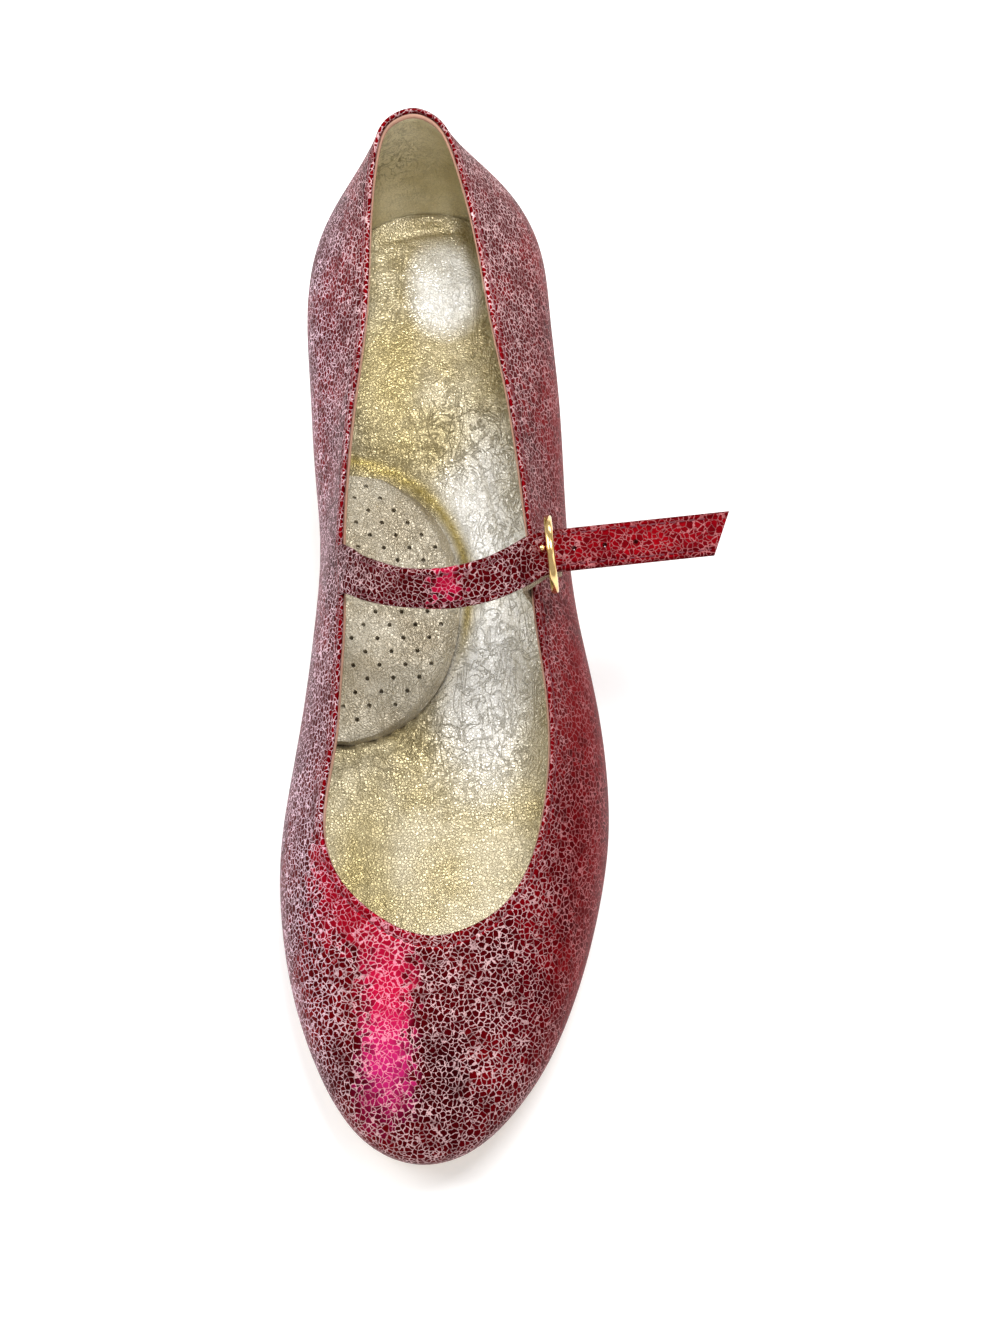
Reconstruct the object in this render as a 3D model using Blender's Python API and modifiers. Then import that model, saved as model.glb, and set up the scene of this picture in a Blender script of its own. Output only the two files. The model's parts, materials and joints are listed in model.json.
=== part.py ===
"""A mary jane pump for the left foot, built piece by piece. Metres, +Z up.

The toe points along -Y, the outer (lateral) side is +X, and the origin is the centre of the heel's walking face.
A station is a distance from the back of the heel towards the toe. Every curved piece is worked out from one set of
ribs: vertical profiles of the upper, each running from the sole's edge over the belly of the wall to the topline.
"""

import math
from collections import namedtuple

import bmesh
import bpy
import numpy as np
from mathutils import Matrix, Vector

# The last and the upper
LENGTH = 0.2503
BALL_WIDTH = 0.0795
HEEL_WIDTH = 0.0615
HEEL_RISE = 0.024
BACK_HEIGHT = 0.058
VAMP_HEIGHT = 0.034
TOE_SPRING = 0.008
WALL = 0.002
LASTING_MARGIN = 0.008
BELLY_HEIGHT = 0.017
TUCK = 0.0085

# The bottom: where the tread is flat, and how the shank falls from the seat to it
TREAD_BACK = 0.168
TREAD_FRONT = 0.192
SHANK_CURVE = 0.8
SPRING_CURVE = 1.7

# The sole, the heel and the insole
SOLE_THICKNESS = 0.0035
SOLE_INSET = 0.0002
HEEL_BREAST = 0.050
HEEL_CENTRE = 0.0285
HEEL_INSET = 0.0008
HEEL_TAPER = 0.13
HEEL_BACK_SLANT = 0.10
TOP_PIECE = 0.005
INSOLE_THICKNESS = 0.0032
CUP_RISE = 0.0018
CUP_WIDTH = 0.014
ARCH_RISE = 0.0065

# The padded arch panel on the insole
PAD_CENTRE = 0.1100
PAD_LENGTH = 0.068
PAD_REACH = 0.0305
PAD_EDGE = 0.0011
PAD_CROWN = 0.0016

# The strap, its buckle and the elastic tape that holds the buckle
STRAP_STATION = 0.1155
STRAP_WIDTH = 0.0102
STRAP_THICKNESS = 0.0016
STRAP_RISE = 0.0155
STRAP_LEAN = math.radians(50)
ROOT_FLARE = 1.24
TAIL_LENGTH = 0.0400
TAIL_CUT = 0.0046
HOLE_RADIUS = 0.00105
HOLE_PITCH = 0.0072
HOLES_INSIDE = 1
HOLES_OUTSIDE = 3
BUCKLE_STATION = 0.1145
BUCKLE_OUT = 0.0032
BUCKLE_UP = 0.0104
BUCKLE_TILT = math.radians(-5.5)
BUCKLE_YAW = math.radians(6)
BUCKLE_PITCH = math.radians(12)
RING_OUTER = 0.0093
RING_INNER = 0.0070
RING_DEPTH = 0.0019
BAR_RADIUS = 0.0008
PRONG_RADIUS = 0.00065
ELASTIC_WIDTH = 0.0105
ELASTIC_THICKNESS = 0.0010
ELASTIC_DROP = 0.010

GAP = 0.0003
SOLE_GAP = 0.0004
BASE = SOLE_THICKNESS + SOLE_GAP

# Divisions of the surfaces
RIB_STEPS = 3
LOWER_STEPS = 3
UPPER_STEPS = 7
ACROSS_STEPS = 10

# Outline of the upper at its belly, one row for each section from the heel's back to the toe's tip. along is a share
# of LENGTH. fore says how far a row follows the ball's sizes rather than the heel's. medial and lateral are shares of
# the width so mixed, belly a share of BELLY_HEIGHT and tuck_in and tuck_out of TUCK, how far the sole's edge lies in.
Section = namedtuple("Section", "along fore medial lateral belly tuck_in tuck_out")
SECTIONS = [
    Section(0.000, 0.00, 0.000, 0.000, 1.16, 0.40, 0.40),
    Section(0.012, 0.00, -0.211, 0.211, 1.16, 0.40, 0.40),
    Section(0.040, 0.00, -0.360, 0.358, 1.15, 0.42, 0.42),
    Section(0.088, 0.00, -0.463, 0.460, 1.14, 0.45, 0.45),
    Section(0.160, 0.00, -0.501, 0.502, 1.12, 0.50, 0.48),
    Section(0.240, 0.10, -0.468, 0.520, 1.08, 0.66, 0.55),
    Section(0.320, 0.25, -0.426, 0.518, 1.04, 0.88, 0.66),
    Section(0.400, 0.40, -0.384, 0.517, 0.97, 1.00, 0.74),
    Section(0.480, 0.60, -0.379, 0.531, 0.94, 0.90, 0.72),
    Section(0.560, 0.80, -0.393, 0.565, 0.88, 0.66, 0.60),
    Section(0.620, 1.00, -0.405, 0.566, 0.82, 0.48, 0.48),
    Section(0.680, 1.00, -0.431, 0.570, 0.76, 0.38, 0.38),
    Section(0.740, 1.00, -0.433, 0.545, 0.71, 0.33, 0.33),
    Section(0.800, 1.00, -0.410, 0.501, 0.68, 0.30, 0.30),
    Section(0.860, 1.00, -0.364, 0.439, 0.65, 0.28, 0.28),
    Section(0.912, 1.00, -0.302, 0.362, 0.62, 0.26, 0.26),
    Section(0.952, 1.00, -0.233, 0.274, 0.59, 0.25, 0.25),
    Section(0.984, 1.00, -0.138, 0.168, 0.56, 0.24, 0.24),
    Section(1.000, 1.00, 0.013, 0.013, 0.53, 0.24, 0.24),
]

# The topline over each of those sections. along is a share of LENGTH, medial and lateral of the mixed width, and up of
# the collar's height mixed with the vamp's. shoulder is how far the wall rises straight from its belly, as a share of
# the way to the topline, and curl how much more than that way the wall leans in at the topline.
Top = namedtuple("Top", "along medial lateral up shoulder curl")
TOPS = [
    Top(0.024, -0.065, -0.065, 1.000, 0.30, 0.70),
    Top(0.030, -0.150, 0.018, 0.992, 0.30, 0.72),
    Top(0.044, -0.206, 0.076, 0.972, 0.29, 0.80),
    Top(0.080, -0.236, 0.134, 0.933, 0.28, 0.94),
    Top(0.140, -0.250, 0.200, 0.875, 0.30, 1.06),
    Top(0.212, -0.251, 0.251, 0.860, 0.34, 1.14),
    Top(0.288, -0.277, 0.306, 0.877, 0.37, 1.18),
    Top(0.364, -0.294, 0.340, 0.911, 0.38, 1.20),
    Top(0.440, -0.288, 0.357, 1.004, 0.38, 1.20),
    Top(0.512, -0.269, 0.364, 1.133, 0.38, 1.20),
    Top(0.564, -0.264, 0.374, 1.355, 0.38, 1.20),
    Top(0.612, -0.272, 0.387, 1.280, 0.36, 1.18),
    Top(0.656, -0.294, 0.382, 1.212, 0.34, 1.15),
    Top(0.698, -0.306, 0.362, 1.153, 0.31, 1.11),
    Top(0.732, -0.282, 0.330, 1.106, 0.28, 1.08),
    Top(0.760, -0.229, 0.284, 1.065, 0.25, 1.05),
    Top(0.782, -0.153, 0.221, 1.029, 0.22, 1.02),
    Top(0.798, -0.067, 0.132, 1.009, 0.20, 1.00),
    Top(0.805, 0.033, 0.033, 1.000, 0.19, 0.99),
]
TOP_HANDLE = 0.36

# The strap's centre line from the inner topline to the buckle, one row for each section. across is a share of the
# straight way between them, rise of STRAP_RISE and turn how far the strap has turned level for the buckle.
StrapRow = namedtuple("StrapRow", "across rise turn")
STRAP_ROWS = [
    StrapRow(0.04, 0.22, 0.00),
    StrapRow(0.15, 0.58, 0.00),
    StrapRow(0.32, 0.90, 0.00),
    StrapRow(0.52, 1.00, 0.10),
    StrapRow(0.70, 0.80, 0.40),
    StrapRow(0.83, 0.46, 0.75),
    StrapRow(0.92, 0.15, 1.00),
]

# Colours as red, green and blue, then roughness and metallic
FINISHES = {
    "crackle_leather": ((0.26, 0.02, 0.045), 0.38, 0.75),
    "gold_lining": ((0.62, 0.52, 0.27), 0.34, 0.85),
    "pad_leather": ((0.66, 0.61, 0.48), 0.45, 0.60),
    "sole_leather": ((0.50, 0.36, 0.23), 0.55, 0.00),
    "heel_rubber": ((0.03, 0.03, 0.03), 0.70, 0.00),
    "gold_metal": ((0.83, 0.62, 0.30), 0.18, 1.00),
    "elastic_tape": ((0.60, 0.52, 0.40), 0.75, 0.00),
}


def collection_named(name):
    found = bpy.data.collections.new(name)
    bpy.context.scene.collection.children.link(found)
    return found


def finish_named(name):
    """The Principled material of that name, made the first time it is asked for."""
    if name in bpy.data.materials:
        return bpy.data.materials[name]
    colour, roughness, metallic = FINISHES[name]
    material = bpy.data.materials.new(name)
    material.use_nodes = True
    shader = material.node_tree.nodes["Principled BSDF"]
    shader.inputs["Base Color"].default_value = (*colour, 1.0)
    shader.inputs["Roughness"].default_value = roughness
    shader.inputs["Metallic"].default_value = metallic
    return material


def add_piece(name, mesh, finish, sharp_angle=40):
    mesh.shade_smooth()
    mesh.set_sharp_from_angle(angle=math.radians(sharp_angle))
    piece = bpy.data.objects.new(name, mesh)
    piece.data.materials.append(finish_named(finish))
    PIECES.objects.link(piece)
    return piece


def skin(name, sections, finish, ring=False, caps=(True, True)):
    """A closed body through the sections, which all have as many points. A ring's last section meets its first, and
    an open row of sections has a cap at each end, but not at an end where the section is folded flat on itself."""
    form = bmesh.new()
    loops = [[form.verts.new(point) for point in section] for section in sections]
    count = len(loops[0])
    pairs = list(zip(loops, loops[1:] + loops[:1])) if ring else list(zip(loops, loops[1:]))
    for near, far in pairs:
        for i in range(count):
            j = (i + 1) % count
            form.faces.new((near[i], near[j], far[j], far[i]))
    if not ring and caps[0]:
        form.faces.new(list(reversed(loops[0])))
    if not ring and caps[1]:
        form.faces.new(loops[-1])
    bmesh.ops.remove_doubles(form, verts=form.verts, dist=1e-6)
    bmesh.ops.dissolve_degenerate(form, edges=form.edges, dist=1e-7)
    bmesh.ops.recalc_face_normals(form, faces=form.faces)
    mesh = bpy.data.meshes.new(name)
    form.to_mesh(mesh)
    form.free()
    return add_piece(name, mesh, finish)


def apply_modifiers(piece):
    """Gives the piece the mesh that its modifiers make, and takes them off."""
    bpy.context.view_layer.update()
    graph = bpy.context.evaluated_depsgraph_get()
    made = bpy.data.meshes.new_from_object(piece.evaluated_get(graph))
    piece.modifiers.clear()
    piece.data = made


def combine(piece, other, operation):
    """Joins the other object to the piece, or cuts it out of it, and removes it."""
    change = piece.modifiers.new(operation.lower(), "BOOLEAN")
    change.object = other
    change.operation = operation
    apply_modifiers(piece)
    bpy.data.objects.remove(other)


def mix(first, second, share):
    return first + (second - first) * share


def smooth(share):
    """Rises from 0 to 1 with no slope at either end."""
    share = min(max(share, 0.0), 1.0)
    return share * share * (3 - 2 * share)


def unit(vector):
    return vector / np.linalg.norm(vector)


def closed_spline(knots, steps):
    """Points on the smooth closed curve through the knots, steps of them from each knot to the next. The first two
    columns are the place in plan, which spaces the knots, and the others follow along."""
    knots = np.asarray(knots, float)
    count = len(knots)
    gaps = np.linalg.norm(np.roll(knots, -1, 0)[:, :2] - knots[:, :2], axis=1)
    system = np.zeros((count, count))
    right = np.zeros_like(knots)
    for i in range(count):
        after = (i + 1) % count
        system[i, i - 1] += gaps[i - 1]
        system[i, i] += 2 * (gaps[i - 1] + gaps[i])
        system[i, after] += gaps[i]
        right[i] = 6 * ((knots[after] - knots[i]) / gaps[i] - (knots[i] - knots[i - 1]) / gaps[i - 1])
    bends = np.linalg.solve(system, right)
    points = []
    for i in range(count):
        after = (i + 1) % count
        for step in range(steps):
            b = step / steps
            a = 1 - b
            bend = (a**3 - a) * bends[i] + (b**3 - b) * bends[after]
            points.append(a * knots[i] + b * knots[after] + gaps[i] ** 2 / 6 * bend)
    return np.array(points)


def open_spline(knots, steps):
    """Points on a smooth curve through the knots, first and last included, with evenly weighted tangents."""
    knots = np.asarray(knots, float)
    ends = [2 * knots[0] - knots[1], *knots, 2 * knots[-1] - knots[-2]]
    points = []
    for i in range(1, len(ends) - 2):
        for step in range(steps):
            t = step / steps
            a, b, c, d = ends[i - 1 : i + 3]
            points.append(
                0.5 * (2 * b + (c - a) * t + (2 * a - 5 * b + 4 * c - d) * t**2 + (3 * b - 3 * c + d - a) * t**3)
            )
    points.append(knots[-1])
    return np.array(points)


def feather_height(station):
    """Height of the upper's lower edge above the floor: flat over the tread, up the shank to the seat, and up to the
    toe's spring."""
    if station < TREAD_BACK:
        return BASE + HEEL_RISE * smooth((1 - station / TREAD_BACK) ** SHANK_CURVE)
    if station > TREAD_FRONT:
        return BASE + TOE_SPRING * ((station - TREAD_FRONT) / (LENGTH - TREAD_FRONT)) ** SPRING_CURVE
    return BASE


def knots_of(side):
    """The rows of both tables on one side, as the values that the ribs are worked out from."""
    rows = []
    for section, top in zip(SECTIONS, TOPS):
        width = mix(HEEL_WIDTH, BALL_WIDTH, section.fore)
        height = mix(HEEL_RISE + BACK_HEIGHT, VAMP_HEIGHT, section.fore)
        station = section.along * LENGTH
        inner = side == "medial"
        rows.append(
            [
                width * (section.medial if inner else section.lateral),
                HEEL_CENTRE - station,
                feather_height(station),
                BELLY_HEIGHT * section.belly,
                TUCK * (section.tuck_in if inner else section.tuck_out),
                width * (top.medial if inner else top.lateral),
                HEEL_CENTRE - top.along * LENGTH,
                BASE + height * top.up,
                top.shoulder,
                top.curl,
            ]
        )
    return rows


def outward_normals(plan):
    """Level unit vectors that point out of a closed outline, which runs anticlockwise seen from above."""
    along = np.roll(plan, -1, 0) - np.roll(plan, 1, 0)
    out = np.stack([along[:, 1], -along[:, 0], np.zeros(len(plan))], axis=1)
    return out / np.linalg.norm(out, axis=1)[:, None]


def rib_profile(values, out):
    """One rib of the upper's outer face, from the feather edge to the topline."""
    x, y, foot, belly, tuck, top_x, top_y, top_z, shoulder, curl = values
    widest = np.array([x, y, foot + belly])
    top = np.array([top_x, top_y, top_z])
    points = []
    for step in range(LOWER_STEPS):
        share = step / LOWER_STEPS
        points.append(widest - out * tuck * (1 - share) ** 2 - np.array([0, 0, belly * (1 - share)]))
    way = top - widest
    level = math.hypot(way[0], way[1])
    lean = min(math.atan2(level, way[2]) * curl, math.radians(80))
    inward = np.array([way[0] / level, way[1] / level, 0])
    reach = np.linalg.norm(way)
    first = widest + np.array([0, 0, shoulder * reach])
    second = top - TOP_HANDLE * reach * (inward * math.sin(lean) + np.array([0, 0, math.cos(lean)]))
    for step in range(UPPER_STEPS + 1):
        t = step / UPPER_STEPS
        points.append(
            (1 - t) ** 3 * widest + 3 * (1 - t) ** 2 * t * first + 3 * (1 - t) * t**2 * second + t**3 * top
        )
    return points


def surface_normals(grid):
    """Unit vectors that point out of the upper's outer face, one for each of its points."""
    around = np.roll(grid, -1, 0) - np.roll(grid, 1, 0)
    up = np.gradient(grid, axis=1)
    normals = np.cross(around, up)
    return normals / np.linalg.norm(normals, axis=2)[:, :, None]


class Ribs:
    """The upper's ribs all the way round: heel back, inner side, toe tip, outer side."""

    def __init__(self):
        medial, lateral = knots_of("medial"), knots_of("lateral")
        values = closed_spline(medial + lateral[-2:0:-1], RIB_STEPS)
        values[:, 2] = [feather_height(HEEL_CENTRE - y) for y in values[:, 1]]
        self.out = outward_normals(values[:, :2])
        self.outer = np.array([rib_profile(v, n) for v, n in zip(values, self.out)])
        self.normals = surface_normals(self.outer)
        self.foot = values[:, 2]
        self.station = HEEL_CENTRE - values[:, 1]
        self.count = len(values)
        self.half = self.count // 2

    def offset(self, rib, depth):
        """The rib's profile moved in from the outer face by that depth."""
        return self.outer[rib] - self.normals[rib] * depth

    def inside(self, rib, height, clearance=GAP):
        """The point that far above the feather edge, and that clear of the wall's inner face."""
        profile = self.offset(rib, WALL + clearance)
        z = self.foot[rib] + height
        return np.array([np.interp(z, profile[:, 2], profile[:, axis]) for axis in (0, 1)] + [z])

    def feather(self, rib, inset=0.0, drop=0.0):
        """The point on the feather edge, moved in and down."""
        return self.outer[rib, 0] - self.out[rib] * inset - np.array([0, 0, drop])

    def rib_near(self, side, station):
        """The rib of that side whose topline is nearest to the station."""
        tops = HEEL_CENTRE - self.outer[:, -1, 1]
        ribs = range(1, self.half) if side == "medial" else range(self.half + 1, self.count)
        return min(ribs, key=lambda rib: abs(tops[rib] - station))

    def beside(self, rib, y, depth):
        """The profile at that depth, mixed from the rib and its neighbours so that its top is at that y."""
        tops = self.outer[:, -1, 1]
        step = 1 if (tops[(rib + 1) % self.count] - tops[rib]) * (y - tops[rib]) > 0 else -1
        other = (rib + step) % self.count
        share = (y - tops[rib]) / (tops[other] - tops[rib])
        return mix(self.offset(rib, depth), self.offset(other, depth), share)

    def rungs(self, most=None):
        """Pairs of ribs that face each other across the shoe, from the heel's back to the toe's tip."""
        pairs = [(rib, (self.count - rib) % self.count) for rib in range(self.half + 1)]
        return [pair for pair in pairs if most is None or self.station[pair[0]] <= most]


def upper_section(ribs, rib):
    """The wall's own outline at one rib: up the outer face, over the rounded topline, down the lining and in along
    the margin that is lasted under the insole."""
    outer = ribs.outer[rib]
    inner = ribs.offset(rib, WALL)
    top_out = ribs.normals[rib, -1]
    upward = unit(outer[-1] - outer[-2])
    middle = (outer[-1] + inner[-1]) / 2
    rim = [
        middle + WALL / 2 * (top_out * math.cos(angle) + upward * math.sin(angle))
        for angle in (math.pi / 4, math.pi / 2, math.pi * 3 / 4)
    ]
    corner = ribs.inside(rib, WALL, clearance=0.0)
    lining = [point for point in inner[::-1] if point[2] > corner[2] + WALL / 2]
    missing = len(inner) - 1 - len(lining)
    lining += [mix(lining[-1], corner, (i + 1) / (missing + 1)) for i in range(missing)]
    edge = ribs.feather(rib, LASTING_MARGIN)
    edge[2] = feather_height(HEEL_CENTRE - edge[1])
    return [*outer, *rim, *lining, corner, edge + np.array([0, 0, WALL]), edge]


def make_upper(ribs):
    return skin("upper", [upper_section(ribs, rib) for rib in range(ribs.count)], "crackle_leather", ring=True)


def across(first, second, steps=ACROSS_STEPS):
    return [mix(first, second, step / steps) for step in range(steps + 1)]


def make_outsole(ribs):
    """The sole from toe to heel, its edge just inside the feather edge."""
    sections = []
    for rib, facing in ribs.rungs():
        inner, outer = ribs.feather(rib, SOLE_INSET, SOLE_GAP), ribs.feather(facing, SOLE_INSET, SOLE_GAP)
        down = np.array([0, 0, SOLE_THICKNESS])
        sections.append([*across(inner, outer), *across(outer - down, inner - down)])
    return skin("outsole", sections, "sole_leather", caps=(False, False))


def arch_share(station):
    """How much of the arch's rise a station has: none at the heel and the ball, all of it under the arch."""
    back, crest, front = 0.22 * LENGTH, 0.43 * LENGTH, 0.64 * LENGTH
    return smooth((station - back) / (crest - back)) * smooth((front - station) / (front - crest))


def floor_rise(station, share, width=1.0):
    """Height of the insole's upper face above the feather edge. share runs over the width from the inner wall to the
    outer one."""
    edge = max(0.0, 1 - min(share, 1 - share) * width / CUP_WIDTH) ** 2
    arch = max(0.0, 1 - share / 0.5) ** 2
    lifted = CUP_RISE * edge * mix(1.0, 0.4, smooth(station / TREAD_BACK)) + ARCH_RISE * arch * arch_share(station)
    return WALL + GAP + INSOLE_THICKNESS + lifted


def floor_point(ribs, rung, share, lift=0.0):
    """A point on the insole's upper face, or that far above it."""
    rib, facing = rung
    station = ribs.station[rib]
    ends = [ribs.inside(side, floor_rise(station, end)) for side, end in ((rib, 0.0), (facing, 1.0))]
    width = abs(ends[1][0] - ends[0][0])
    point = mix(ends[0], ends[1], share)
    point[2] = mix(ribs.foot[rib], ribs.foot[facing], share) + floor_rise(station, share, width) + lift
    return point


def make_insole(ribs):
    """The footbed: it rests on the lasted margin, fits the wall, and rises to the inner side under the arch."""
    sections = []
    for rung in ribs.rungs():
        rib, facing = rung
        station = ribs.station[rib]
        low = WALL + GAP
        sides = []
        for side, end in ((rib, 0.0), (facing, 1.0)):
            heights = across(low, floor_rise(station, end), 3)[:-1]
            sides.append([ribs.inside(side, height) for height in heights])
        top = [floor_point(ribs, rung, step / ACROSS_STEPS) for step in range(ACROSS_STEPS + 1)]
        bottom = across(sides[1][0], sides[0][0])[1:-1]
        sections.append([*sides[0], *top, *reversed(sides[1]), *bottom])
    return skin("insole", sections, "gold_lining", caps=(False, False))


def floor_between(ribs, station, share, lift=0.0):
    """A point on the insole's upper face at any station, between two rungs, or that far above it."""
    rungs = ribs.rungs()
    after = next(i for i, rung in enumerate(rungs) if ribs.station[rung[0]] > station)
    stations = [ribs.station[rung[0]] for rung in rungs[after - 1 : after + 1]]
    first, second = [floor_point(ribs, rung, share, lift) for rung in rungs[after - 1 : after + 1]]
    return mix(first, second, (station - stations[0]) / (stations[1] - stations[0]))


def make_arch_pad(ribs):
    """The perforated cushion over the inner half of the arch: half an oval in plan, crowned, and a step at its edge."""
    sections = []
    for turn in range(-75, 76, 15):
        place = math.sin(math.radians(turn)) * 1.02
        station = PAD_CENTRE + place * PAD_LENGTH / 2
        inner, outer = floor_between(ribs, station, 0.0), floor_between(ribs, station, 1.0)
        fullness = (1 - abs(place) ** 2.3) ** 0.45
        start = 0.035
        reach = PAD_REACH * fullness / (outer[0] - inner[0])
        shares = across(start, start + reach, 8)
        bottom = [floor_between(ribs, station, share, GAP) for share in shares]
        top = []
        for step, share in enumerate(shares):
            crown = PAD_CROWN * fullness * math.sin(math.pi * step / 8) ** 0.7 if 0 < step < 8 else 0.0
            top.append(floor_between(ribs, station, share, GAP + PAD_EDGE + crown))
        sections.append([*bottom, *reversed(top)])
    return skin("arch_pad", sections, "pad_leather")


def heel_point(point, breast, level):
    """A point of the heel's upper outline moved to a level of the heel, 0 at its top and 1 at its foot."""
    eased = 1 - (1 - level) ** 1.5
    x = point[0] * (1 - HEEL_TAPER * eased)
    y = breast + (point[1] - breast) * (1 - HEEL_BACK_SLANT * eased)
    return np.array([x, y])


def heel_outline(ribs):
    """The heel's upper outline as facing pairs of points, from its back to its breast."""
    pairs = []
    for rib, facing in ribs.rungs(HEEL_BREAST):
        drop = SOLE_GAP + SOLE_THICKNESS + GAP
        pairs.append((ribs.feather(rib, HEEL_INSET, drop), ribs.feather(facing, HEEL_INSET, drop)))
    return pairs


def make_heel(ribs):
    """The block between the sole and the top piece, tapered to its foot and hollow-sided a little."""
    pairs = heel_outline(ribs)
    breast = pairs[-1][0][1]
    foot = TOP_PIECE + GAP
    levels = [0.0, 0.25, 0.5, 0.75, 1.0]
    sections = []
    for inner, outer in pairs:
        sides = []
        for point in (inner, outer):
            sides.append([[*heel_point(point, breast, level), mix(point[2], foot, level)] for level in levels])
        sides = [np.array(side) for side in sides]
        top = across(sides[0][0], sides[1][0])
        bottom = across(sides[1][-1], sides[0][-1])
        sections.append([*top, *sides[1][1:-1], *bottom, *sides[0][-2:0:-1]])
    return skin("heel_block", sections, "crackle_leather", caps=(False, True))


def make_top_piece(ribs):
    """The walking face under the heel: the foot's outline as a flat curve, extruded."""
    pairs = heel_outline(ribs)
    breast = pairs[-1][0][1]
    medial = [heel_point(inner, breast, 1.0) for inner, outer in pairs]
    lateral = [heel_point(outer, breast, 1.0) for inner, outer in pairs]
    outline = medial + lateral[:0:-1]
    data = bpy.data.curves.new("top_piece", "CURVE")
    data.dimensions = "2D"
    data.fill_mode = "BOTH"
    data.extrude = TOP_PIECE / 2
    spline = data.splines.new("POLY")
    spline.points.add(len(outline) - 1)
    for place, (x, y) in zip(spline.points, outline):
        place.co = (x, y, 0, 1)
    spline.use_cyclic_u = True
    piece = bpy.data.objects.new("top_piece", data)
    piece.location.z = TOP_PIECE / 2
    data.materials.append(finish_named("heel_rubber"))
    PIECES.objects.link(piece)
    return piece


class Buckle:
    """Where the buckle stands. Its bar lies along the outer topline, just outside it, and its ring is upright with the
    top tilted out, so that the strap passes square through it over the bar."""

    def __init__(self, ribs):
        self.rib = ribs.rib_near("lateral", BUCKLE_STATION)
        self.centre = ribs.outer[self.rib, -1] + np.array([BUCKLE_OUT, 0, BUCKLE_UP])
        turn = Matrix.Rotation(BUCKLE_YAW, 3, "Z")
        self.matrix = turn @ Matrix.Rotation(BUCKLE_PITCH, 3, "X") @ Matrix.Rotation(BUCKLE_TILT, 3, "Y")
        self.through = np.array(self.matrix @ Vector((1, 0, 0)))
        self.along = np.array(self.matrix @ Vector((0, 1, 0)))
        self.up = np.array(self.matrix @ Vector((0, 0, 1)))
        self.strap_rise = BAR_RADIUS + GAP + ELASTIC_THICKNESS + GAP + STRAP_THICKNESS / 2

    def place(self, through=0.0, along=0.0, up=0.0):
        return self.centre + self.through * through + self.along * along + self.up * up

    def to_world(self):
        return Matrix.Translation(Vector(self.centre)) @ self.matrix.to_4x4()


def strap_path(ribs, buckle):
    """Rows of the strap's middle, its width, and the direction of its sides, from root to tail."""
    rib = ribs.rib_near("medial", STRAP_STATION)
    rim_side = unit(ribs.outer[rib - 1, -1] - ribs.outer[rib + 1, -1])
    upward = unit(ribs.outer[rib, -1] - ribs.outer[rib, -2])
    root = ribs.outer[rib, -1] - ribs.normals[rib, -1] * STRAP_THICKNESS / 2 + upward * (WALL / 2 + GAP)
    rest = buckle.place(up=buckle.strap_rise)
    rise = np.array([0, -math.sin(STRAP_LEAN), math.cos(STRAP_LEAN)]) * STRAP_RISE
    arch_side = unit(np.cross(rise, rest - root))
    knots = [[*root, ROOT_FLARE, *rim_side]]
    for row in STRAP_ROWS:
        side = mix(mix(rim_side, arch_side, smooth(row.across * 3)), buckle.along, row.turn)
        knots.append([*(mix(root, rest, row.across) + rise * row.rise), 1.0, *side])
    for share in (0.0, 0.1, 0.35, 0.7, 1.0):
        knots.append([*(rest + buckle.through * TAIL_LENGTH * share), 1.0, *buckle.along])
    return open_spline(knots, 3)


def root_corner(ribs, side, depth):
    """A corner of the strap's root: just over the rim, that far to the side and that deep in the wall."""
    rib = ribs.rib_near("medial", STRAP_STATION)
    y = ribs.outer[rib, -1, 1] + STRAP_WIDTH / 2 * ROOT_FLARE * side
    wall = ribs.beside(rib, y, depth)
    return wall[-1] + unit(wall[-1] - wall[-2]) * (WALL / 2 + GAP)


def strap_sections(ribs, buckle):
    """Sections across the strap, the first in line with the wall below it and the last slanting."""
    rows = strap_path(ribs, buckle)
    tangents = np.gradient(rows[:, :3], axis=0)
    corners = ((-1, 1), (-0.33, 1), (0.33, 1), (1, 1), (1, 0), (0.33, 0), (-0.33, 0), (-1, 0))
    sections = [[root_corner(ribs, s, STRAP_THICKNESS * depth) for s, depth in corners]]
    for number in range(3, len(rows)):
        row, forward = rows[number], unit(tangents[number])
        side = unit(row[4:7] - forward * (row[4:7] @ forward))
        normal = np.cross(forward, side)
        slant = forward * TAIL_CUT / 2 if number == len(rows) - 1 else 0.0
        section = []
        for s, depth in corners:
            corner = row[:3] + side * STRAP_WIDTH / 2 * row[3] * s + normal * STRAP_THICKNESS * (0.5 - depth)
            section.append(corner + slant * s)
        sections.append(section)
    return sections


def make_strap(ribs, buckle):
    return skin("strap", strap_sections(ribs, buckle), "crackle_leather")


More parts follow.
